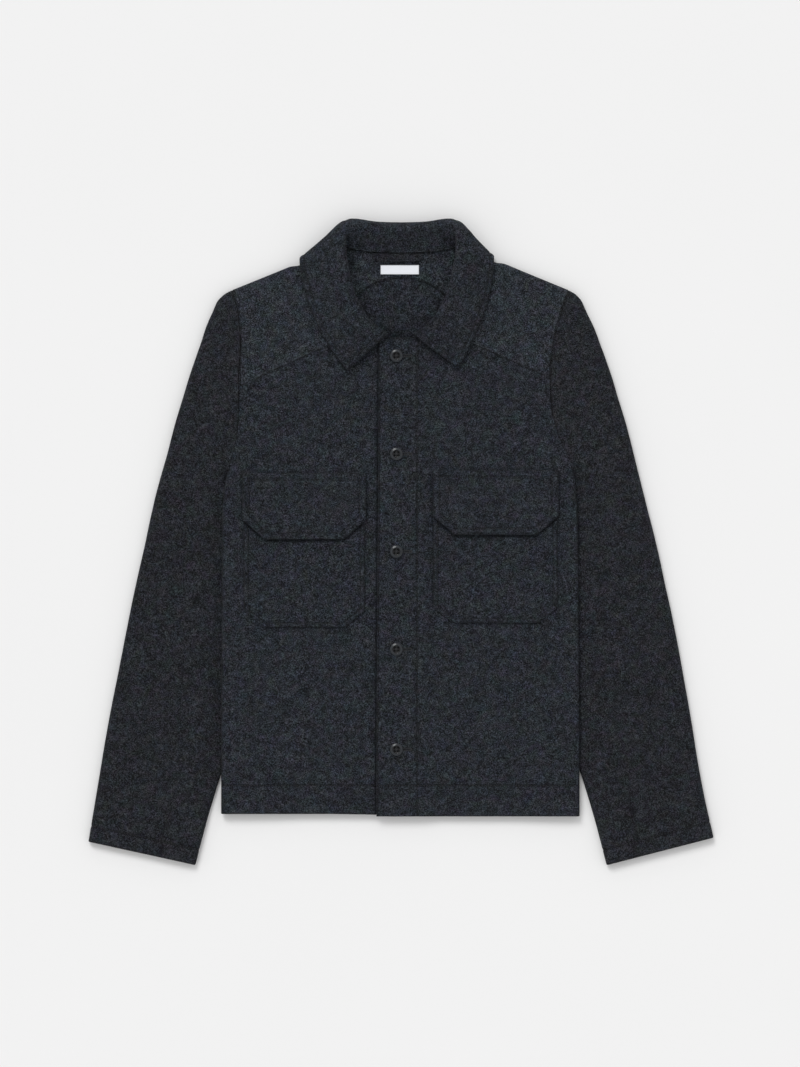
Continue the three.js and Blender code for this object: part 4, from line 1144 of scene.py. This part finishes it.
def make_pocket(sign):
    side = SIDES[sign]
    shape = POCKETS[side]
    grid = patch_grid(shape, pocket_height(sign), 1.7)
    x, y = grid[..., 0], grid[..., 1]
    relief = welt(from_edge(shape, x, y), POCKET_INSET)
    # A dip in the pocket just outside the flap's edge, with shade also painted into it
    relief = relief + groove(from_edge(FLAPS[side], x, y) + 0.7, 0.7, 1.5)
    piece, _ = make_cloth(f"chest_pocket_{side}", f"pocket_{side}", "wool", grid, POCKET_CLOTH,
                          (0.85, 0.85, 0.85, 0.85), wool_body, relief=relief)
    return piece


def make_flap(sign, pocket):
    side = SIDES[sign]
    shape = FLAPS[side]
    grid = patch_grid(shape, flap_height(sign), 1.5)
    x, y = grid[..., 0], grid[..., 1]
    relief = welt(from_edge(shape, x, y), FLAP_INSET) + groove(shape["top"] - y - FLAP_TOP_INSET)
    piece, _ = make_cloth(f"chest_flap_{side}", f"pocket_flap_{side}", "wool", grid, FLAP_CLOTH,
                          (1.2, 1.2, 1.2, 1.2), wool_body, relief=relief)
    return piece


def make_collar():
    grid = collar_grid()
    from_free_edge = steps_along(grid[:, ::-1], 1)[:, ::-1]
    run = steps_along(grid, 0)
    from_front = np.minimum(run, run[-1:] - run)
    relief = welt(np.minimum(from_free_edge, from_front), COLLAR_INSET)
    piece, surface = make_cloth("collar_fall", "collar", "wool", grid, COLLAR_CLOTH,
                                (1.5, 1.5, 0.8, 1.5), wool_body, relief=relief, inner_relief=relief)
    return piece, collar_route(surface, run, from_free_edge)


def collar_route(surface, run, from_free_edge):
    """Stitches inside the collar's edge: up one front end, round the free edge and down the other."""
    free = line_at(surface, from_free_edge, COLLAR_INSET, 1)
    right = line_at(surface, run, COLLAR_INSET, 0)
    left = line_at(surface, run[-1:] - run, COLLAR_INSET, 0)
    start, stop = COLLAR_ENDS
    ends = [end[start:stop] for end in (right, left)]
    along = run[np.arange(len(run)), -COLLAR_EDGE_STEPS]
    inside = (along > COLLAR_INSET) & (along < along[-1] - COLLAR_INSET)
    return np.concatenate([ends[0], free[inside], ends[1][::-1]])


def make_loop():
    """The hanger loop: a strip of the same wool whose ends turn up into the neckline seam."""
    share = np.linspace(0, 1, 60)[:, None]
    across = np.linspace(0, 1, 9)[None, :]
    x = mix(LOOP["start"], LOOP["stop"], share) + 0 * across
    end = np.maximum(0, 1 - np.minimum(share, 1 - share) / 0.16) ** 2
    y = LOOP["y"] + (across - 0.5) * LOOP["width"] * (1 - 0.45 * end) + LOOP["dip"] * 0.35 * end
    z = back_height(x, y) + HALF + SEAM + LOOP_CLOTH / 2 + LOOP["rise"] * (1 - end)
    piece, _ = make_cloth("hanger_strip", "hanger_loop", "wool", np.stack([x, y, z], -1), LOOP_CLOTH,
                          (0.5, 0.5, 0.7, 0.7), shaded_wool_sleeves)
    return piece


def make_label():
    x = LABEL["x"] + np.linspace(-0.5, 0.5, 48)[:, None] * LABEL["width"]
    y = LABEL["y"] + np.linspace(-0.5, 0.5, 14)[None, :] * LABEL["height"]
    x, y = x + 0 * y, y + 0 * x
    z = back_height(x, y) + HALF + SEAM + LABEL_CLOTH / 2
    piece, _ = make_cloth("neck_label", "label", "label_cloth", np.stack([x, y, z], -1), LABEL_CLOTH,
                          (0.3, 0.3, 0.3, 0.3), tape)
    return piece


# Stitches
def stitch_tree():
    """Lays beads of thread along a line. Turn sets them across it, as round a buttonhole."""
    tree = bpy.data.node_groups.new("stitches", "GeometryNodeTree")
    made = {"Geometry": "NodeSocketGeometry", "Pitch": "NodeSocketFloat", "Length": "NodeSocketFloat",
            "Thread": "NodeSocketFloat", "Turn": "NodeSocketFloat", "Material": "NodeSocketMaterial"}
    for name, kind in made.items():
        tree.interface.new_socket(name, in_out="INPUT", socket_type=kind)
    tree.interface.new_socket("Geometry", in_out="OUTPUT", socket_type="NodeSocketGeometry")
    given = tree.nodes.new("NodeGroupInput").outputs
    curve = add_node(tree, "GeometryNodeMeshToCurve", {"Mesh": given["Geometry"]}).outputs[0]
    places = add_node(tree, "GeometryNodeResampleCurve", {"Curve": curve, "Length": given["Pitch"]},
                      mode="LENGTH").outputs[0]
    round_size = {"Segments": 6, "Rings": 5, "Radius": 0.5}
    ball = add_node(tree, "GeometryNodeMeshUVSphere", round_size).outputs[0]
    size = add_node(tree, "ShaderNodeCombineXYZ", {"X": given["Length"], "Y": given["Thread"],
                                                   "Z": given["Thread"]}).outputs[0]
    bead = add_node(tree, "GeometryNodeTransform", {"Geometry": ball, "Scale": size}).outputs[0]
    tangent = tree.nodes.new("GeometryNodeInputTangent").outputs[0]
    turned = add_node(tree, "ShaderNodeVectorRotate", {"Vector": tangent, "Angle": given["Turn"]},
                      rotation_type="Z_AXIS").outputs[0]
    lie = add_node(tree, "FunctionNodeAxesToRotation", {"Primary Axis": turned,
                                                        "Secondary Axis": (0.0, 0.0, 1.0)},
                   primary_axis="X", secondary_axis="Z").outputs[0]
    laid = add_node(tree, "GeometryNodeInstanceOnPoints", {"Points": places, "Instance": bead,
                                                           "Rotation": lie}).outputs[0]
    real = add_node(tree, "GeometryNodeRealizeInstances", {"Geometry": laid}).outputs[0]
    even = add_node(tree, "GeometryNodeSetShadeSmooth", {"Geometry": real}).outputs[0]
    finish = {"Geometry": even, "Material": given["Material"]}
    painted = add_node(tree, "GeometryNodeSetMaterial", finish)
    add_node(tree, "NodeGroupOutput", {"Geometry": painted.outputs[0]})
    return tree


def line_at(surface, distance, target, axis):
    """The line on a surface where a distance reaches its target, one point for each row or column."""
    points = surface if axis == 1 else np.swapaxes(surface, 0, 1)
    runs = distance if axis == 1 else distance.T
    line = []
    for row, run in zip(points, runs):
        order = np.argsort(run)
        line.append([np.interp(target, run[order], row[order, k]) for k in range(3)])
    return np.array(line)


def on_cloth(route, height, step=3.0):
    """A route of x, y corners as close points that lie in the groove that its stitches pull."""
    points = []
    for (x0, y0), (x1, y1) in zip(route, route[1:]):
        count = max(2, int(math.hypot(x1 - x0, y1 - y0) / step))
        share = np.linspace(0, 1, count, endpoint=False)
        points += list(zip(mix(x0, x1, share), mix(y0, y1, share)))
    points.append(route[-1])
    x, y = np.array(points).T
    return np.stack([x, y, height(x, y) - GROOVE_DEEP + 0.5 * THREAD], -1)


def sew(name, lines, material, pitch=3.6, length=3.0, thick=0.55, turn=0.0, closed=False):
    points = np.concatenate(lines)
    edges, start = [], 0
    for line in lines:
        count = len(line)
        edges += [(start + k, start + k + 1) for k in range(count - 1)]
        if closed:
            edges.append((start + count - 1, start))
        start += count
    mesh = bpy.data.meshes.new(name)
    mesh.from_pydata((points * MM).tolist(), edges, [])
    line_piece = bpy.data.objects.new(f"{name}_line", mesh)
    bpy.context.scene.collection.objects.link(line_piece)
    modifier = line_piece.modifiers.new("stitches", "NODES")
    modifier.node_group = stitches
    values = {"Pitch": pitch * MM, "Length": length * MM, "Thread": thick * MM, "Turn": turn,
              "Material": material}
    for item in stitches.interface.items_tree:
        if item.in_out == "INPUT" and item.name in values:
            modifier[item.identifier] = values[item.name]
    return baked(line_piece, name)


def baked(source, name):
    """A plain mesh of what the object's modifiers make. The source object goes."""
    graph = bpy.context.evaluated_depsgraph_get()
    mesh = bpy.data.meshes.new_from_object(source.evaluated_get(graph))
    bpy.data.objects.remove(source)
    piece = bpy.data.objects.new(name, mesh)
    bpy.context.scene.collection.objects.link(piece)
    return piece


def sew_all(cuffs, collar_line):
    pieces = [sew("collar_stitches", [collar_line], thread)]
    pieces.append(sew("cuff_stitches", cuffs, thread, closed=True))
    placket = [(PLACKET_STITCH_X, HEM_Y["left"] + 1), (PLACKET_STITCH_X, 236)]
    top = [on_cloth(placket, lambda x, y: upper_front_height(x, y) + HALF)]
    right_hem = [(-206, HEM_STITCH_Y), (EDGE_HEM_X - 2, HEM_STITCH_Y)]
    left_hem = [(EDGE_HEM_X + 2, HEM_STITCH_Y), (204, HEM_STITCH_Y)]
    top.append(on_cloth(right_hem, lambda x, y: front_height(x, y) + HALF))
    top.append(on_cloth(left_hem, lambda x, y: upper_front_height(x, y) + HALF))
    pieces.append(sew("front_stitches", top, thread))
    under = [(-206, HEM_STITCH_Y), (204, HEM_STITCH_Y)]
    line = on_cloth(under, lambda x, y: back_height(x, y) - HALF + 2 * GROOVE_DEEP - THREAD)
    pieces.append(sew("back_hem_stitches", [line], thread))
    for sign in (-1, 1):
        side = SIDES[sign]
        pocket, flap = POCKETS[side], FLAPS[side]
        route = stitch_route(pocket, POCKET_INSET, pocket["top"] - 1)
        height = pocket_height(sign)
        line = on_cloth(route, lambda x, y: height(x, y) + POCKET_CLOTH / 2)
        pieces.append(sew(f"pocket_stitches_{side}", [line], thread))
        over = flap_height(sign)
        route = stitch_route(flap, FLAP_INSET, flap["top"] - 1)
        across_y = flap["top"] - FLAP_TOP_INSET
        across = [(flap["start"] + 1.5, across_y), (flap["stop"] - 1.5, across_y)]
        lines = [on_cloth(r, lambda x, y: over(x, y) + FLAP_CLOTH / 2) for r in (route, across)]
        pieces.append(sew(f"flap_stitches_{side}", lines, thread))
    for piece in pieces:
        dress(piece, "wool")


# Buttons and buttonholes
def band(low, high, sides):
    """The faces between two rings of points."""
    return [(low + k, low + (k + 1) % sides, high + (k + 1) % sides, high + k) for k in range(sides)]


def lathe(profile, sides):
    """A closed solid turned from a profile of radius and height, both ends on its axis."""
    rings = profile[1:-1]
    turn = np.linspace(0, 2 * np.pi, sides, endpoint=False)
    points = [(0, 0, profile[0][1])]
    for radius, height in rings:
        points += [(radius * math.cos(a), radius * math.sin(a), height) for a in turn]
    points.append((0, 0, profile[-1][1]))
    faces = [(0, 1 + (k + 1) % sides, 1 + k) for k in range(sides)]
    for r in range(len(rings) - 1):
        low, high = 1 + r * sides, 1 + (r + 1) * sides
        faces += band(low, high, sides)
    last = 1 + (len(rings) - 1) * sides
    faces += [(last + k, last + (k + 1) % sides, len(points) - 1) for k in range(sides)]
    return np.array(points), faces


def arc(centre_r, centre_z, radius, start, stop, count=5):
    turn = np.radians(np.linspace(start, stop, count))
    return [(centre_r + radius * math.cos(t), centre_z + radius * math.sin(t)) for t in turn]


def button_profile():
    """Flat underneath, a rim that slopes out and down, and a well that the holes go through."""
    r, t, well = BUTTON["radius"], BUTTON["thick"], BUTTON["well"]
    floor = t - BUTTON["well_deep"]
    slope = [(r - 0.05, 1.6), (r - 0.25, 2.02), (r - 0.7, 2.34), (r - 1.4, 2.62), (r - 2.1, 2.88),
             (r - 2.6, t - 0.1), (r - 2.8, t - 0.05)]
    dish = [(well, t - 0.12), (well - 0.35, t - 0.5), (well - 0.6, floor + 0.15), (well - 1, floor)]
    return [(0, 0), (r - 1.4, 0)] + arc(r - 1.2, 1.2, 1.2, -80, 0) + slope + dish + [(0, floor - 0.1)]


def make_button_mesh():
    """The turned button with its four holes drilled, at the origin."""
    points, faces = lathe(button_profile(), 48)
    button = make_mesh("button", points, faces, horn)
    for sx, sy in ((1, 1), (1, -1), (-1, 1), (-1, -1)):
        hole = BUTTON["hole"]
        ends = [(0, -1), (hole, -1), (hole, BUTTON["thick"] + 1), (0, BUTTON["thick"] + 1)]
        drill_points, drill_faces = lathe(ends, 14)
        at = np.array([sx * BUTTON["spread"], sy * BUTTON["spread"], 0])
        drill = make_mesh("drill", drill_points + at, drill_faces, horn)
        cut = button.modifiers.new("hole", "BOOLEAN")
        cut.operation = "DIFFERENCE"
        cut.solver = "EXACT"
        cut.object = drill
        drill.hide_render = True
    plain = baked(button, "button")
    for drill in [o for o in bpy.data.objects if o.name.startswith("drill")]:
        bpy.data.objects.remove(drill)
    mesh = plain.data
    bpy.data.objects.remove(plain)
    # Painted shade for the well, kept on the points: 1 inside the well and 0 outside
    well = mesh.attributes.new("painted_shade", "FLOAT", "POINT")
    for vertex, value in zip(mesh.vertices, well.data):
        value.value = 1.0 if math.hypot(vertex.co.x, vertex.co.y) < (BUTTON["well"] - 0.3) * MM else 0.0
    return mesh


def tube(path, radius, sides=8):
    """A closed round cord along a path, thinner at its two ends."""
    path = np.asarray(path, float)
    ahead = unit(np.gradient(path, axis=0))
    side = unit(np.cross(ahead, (0.13, 0.27, 1.0)))
    up = np.cross(side, ahead)
    turn = np.linspace(0, 2 * np.pi, sides, endpoint=False)
    points = []
    for k, centre in enumerate(path):
        size = radius * (0.6 if k in (0, len(path) - 1) else 1)
        points += [centre + size * (side[k] * math.cos(a) + up[k] * math.sin(a)) for a in turn]
    faces = []
    for k in range(len(path) - 1):
        low, high = k * sides, (k + 1) * sides
        faces += band(low, high, sides)
    faces.append(tuple(range(sides))[::-1])
    last = (len(path) - 1) * sides
    faces.append(tuple(last + n for n in range(sides)))
    return np.array(points), faces


def joined(parts):
    points, faces, count = [], [], 0
    for part_points, part_faces in parts:
        points.append(part_points)
        faces += [tuple(int(v) + count for v in face) for face in part_faces]
        count += len(part_points)
    return np.concatenate(points), faces


def button_threads(x, y, base):
    """Thread through the four holes, in two crossing pairs of strands, and the shank beneath."""
    floor = base + BUTTON["thick"] - BUTTON["well_deep"] - 0.1
    spread_out = BUTTON["spread"]
    parts = []
    for a, b in (((-1, -1), (1, 1)), ((-1, 1), (1, -1))):
        for shift in (-0.28, 0.28):
            share = np.linspace(0, 1, 11)
            arch = np.sin(np.pi * share) * 0.55
            down = -1.6 * (np.abs(share - 0.5) > 0.45)
            px = x + mix(a[0], b[0], share) * spread_out - shift * (b[1] - a[1]) / 2
            py = y + mix(a[1], b[1], share) * spread_out + shift * (b[0] - a[0]) / 2
            parts.append(tube(np.stack([px, py, floor + 0.3 + arch + down], -1), 0.33))
    for k in range(3):
        angle = 2 * np.pi * k / 3
        px, py = x + 0.45 * math.cos(angle), y + 0.45 * math.sin(angle)
        parts.append(tube([(px, py, base - 0.6), (px, py, base + 0.2), (px, py, base + 0.9)], 0.5))
    return joined(parts)


def buttonhole_line(y, height):
    """Round the slit of a buttonhole, which runs in from the button's outer side."""
    start, stop, wide = BUTTON_X - 3.0, BUTTON_X + 17.0, 1.15
    turn = np.linspace(np.pi / 2, 3 * np.pi / 2, 9)
    left = [(start + wide * math.cos(a), y + wide * math.sin(a)) for a in turn]
    right = [(stop - wide * math.cos(a), y - wide * math.sin(a)) for a in turn]
    straight = np.linspace(start, stop, 24)[1:-1]
    below = [(x, y - wide) for x in straight]
    above = [(x, y + wide) for x in straight[::-1]]
    x, y = np.array(left + below + right + above).T
    return np.stack([x, y, height(x, y) + HALF + 0.12], -1)


def make_buttons():
    turned = make_button_mesh()
    threads, holes = [], []
    for count, y in enumerate(BUTTON_YS, 1):
        base = float(upper_front_height(np.array(BUTTON_X), np.array(y))) + HALF + SEAM
        mesh = turned.copy()
        mesh.transform(place_at(BUTTON_X, y, base))
        piece = bpy.data.objects.new(f"horn_button_{count}", mesh)
        bpy.context.scene.collection.objects.link(piece)
        dress(piece, "button", f"button_{count}")
        threads.append(button_threads(BUTTON_X, y, base))
        holes.append(buttonhole_line(y, upper_front_height))
    dress(make_mesh("button_threads", *joined(threads), thread), "wool")
    piece = sew("buttonhole_stitches", holes, thread, 0.62, 2.1, 0.6, math.pi / 2, True)
    dress(piece, "wool")


def place_at(x, y, z):
    return Matrix.Translation((x * MM, y * MM, z * MM))


stitches = stitch_tree()
back, _ = make_back()
yoke = make_yoke(back)
cuffs = []
for sign in (-1, 1):
    front = make_front(sign, back)
    _, cuff = make_sleeve(sign)
    cuffs.append(cuff)
    make_flap(sign, make_pocket(sign))
_, collar_line = make_collar()
make_loop()
make_label()
sew_all(cuffs, collar_line)
make_buttons()


# Floor, light and camera
def make_floor():
    size = 4000
    points = np.array([(-size, -size, 0), (size, -size, 0), (size, size, 0), (-size, size, 0)], float)
    floor = make_mesh("floor", points, [(0, 1, 2, 3)], floor_material(), False)


def make_light():
    world = bpy.data.worlds.new("studio")
    bpy.context.scene.world = world
    world.use_nodes = True
    world.node_tree.nodes["Background"].inputs["Color"].default_value = (1.0, 1.0, 1.0, 1.0)
    world.node_tree.nodes["Background"].inputs["Strength"].default_value = 0.78
    lamp = bpy.data.lights.new("window", "SUN")
    lamp.energy = 1.35
    lamp.angle = math.radians(26)
    window = bpy.data.objects.new("window", lamp)
    window.rotation_euler = (math.radians(-40), math.radians(-22), 0)
    bpy.context.scene.collection.objects.link(window)


def make_camera():
    """Straight above, at the photograph's scale: its picture is PICTURE pixels of PIXEL millimetres."""
    picture = (800, 1067)
    pixel = 1.18
    centre_pixel = (401, 542)
    lens = 200
    sensor = 36
    camera = bpy.data.cameras.new("camera")
    camera.lens = lens
    camera.sensor_width = sensor
    place = bpy.data.objects.new("camera", camera)
    distance = lens / sensor * picture[1] * pixel
    place.location = (
        (picture[0] / 2 - centre_pixel[0]) * pixel * MM,
        (centre_pixel[1] - picture[1] / 2) * pixel * MM,
        distance * MM,
    )
    bpy.context.scene.collection.objects.link(place)
    bpy.context.scene.camera = place


make_floor()
make_light()
make_camera()
bpy.context.scene.view_settings.view_transform = "Standard"
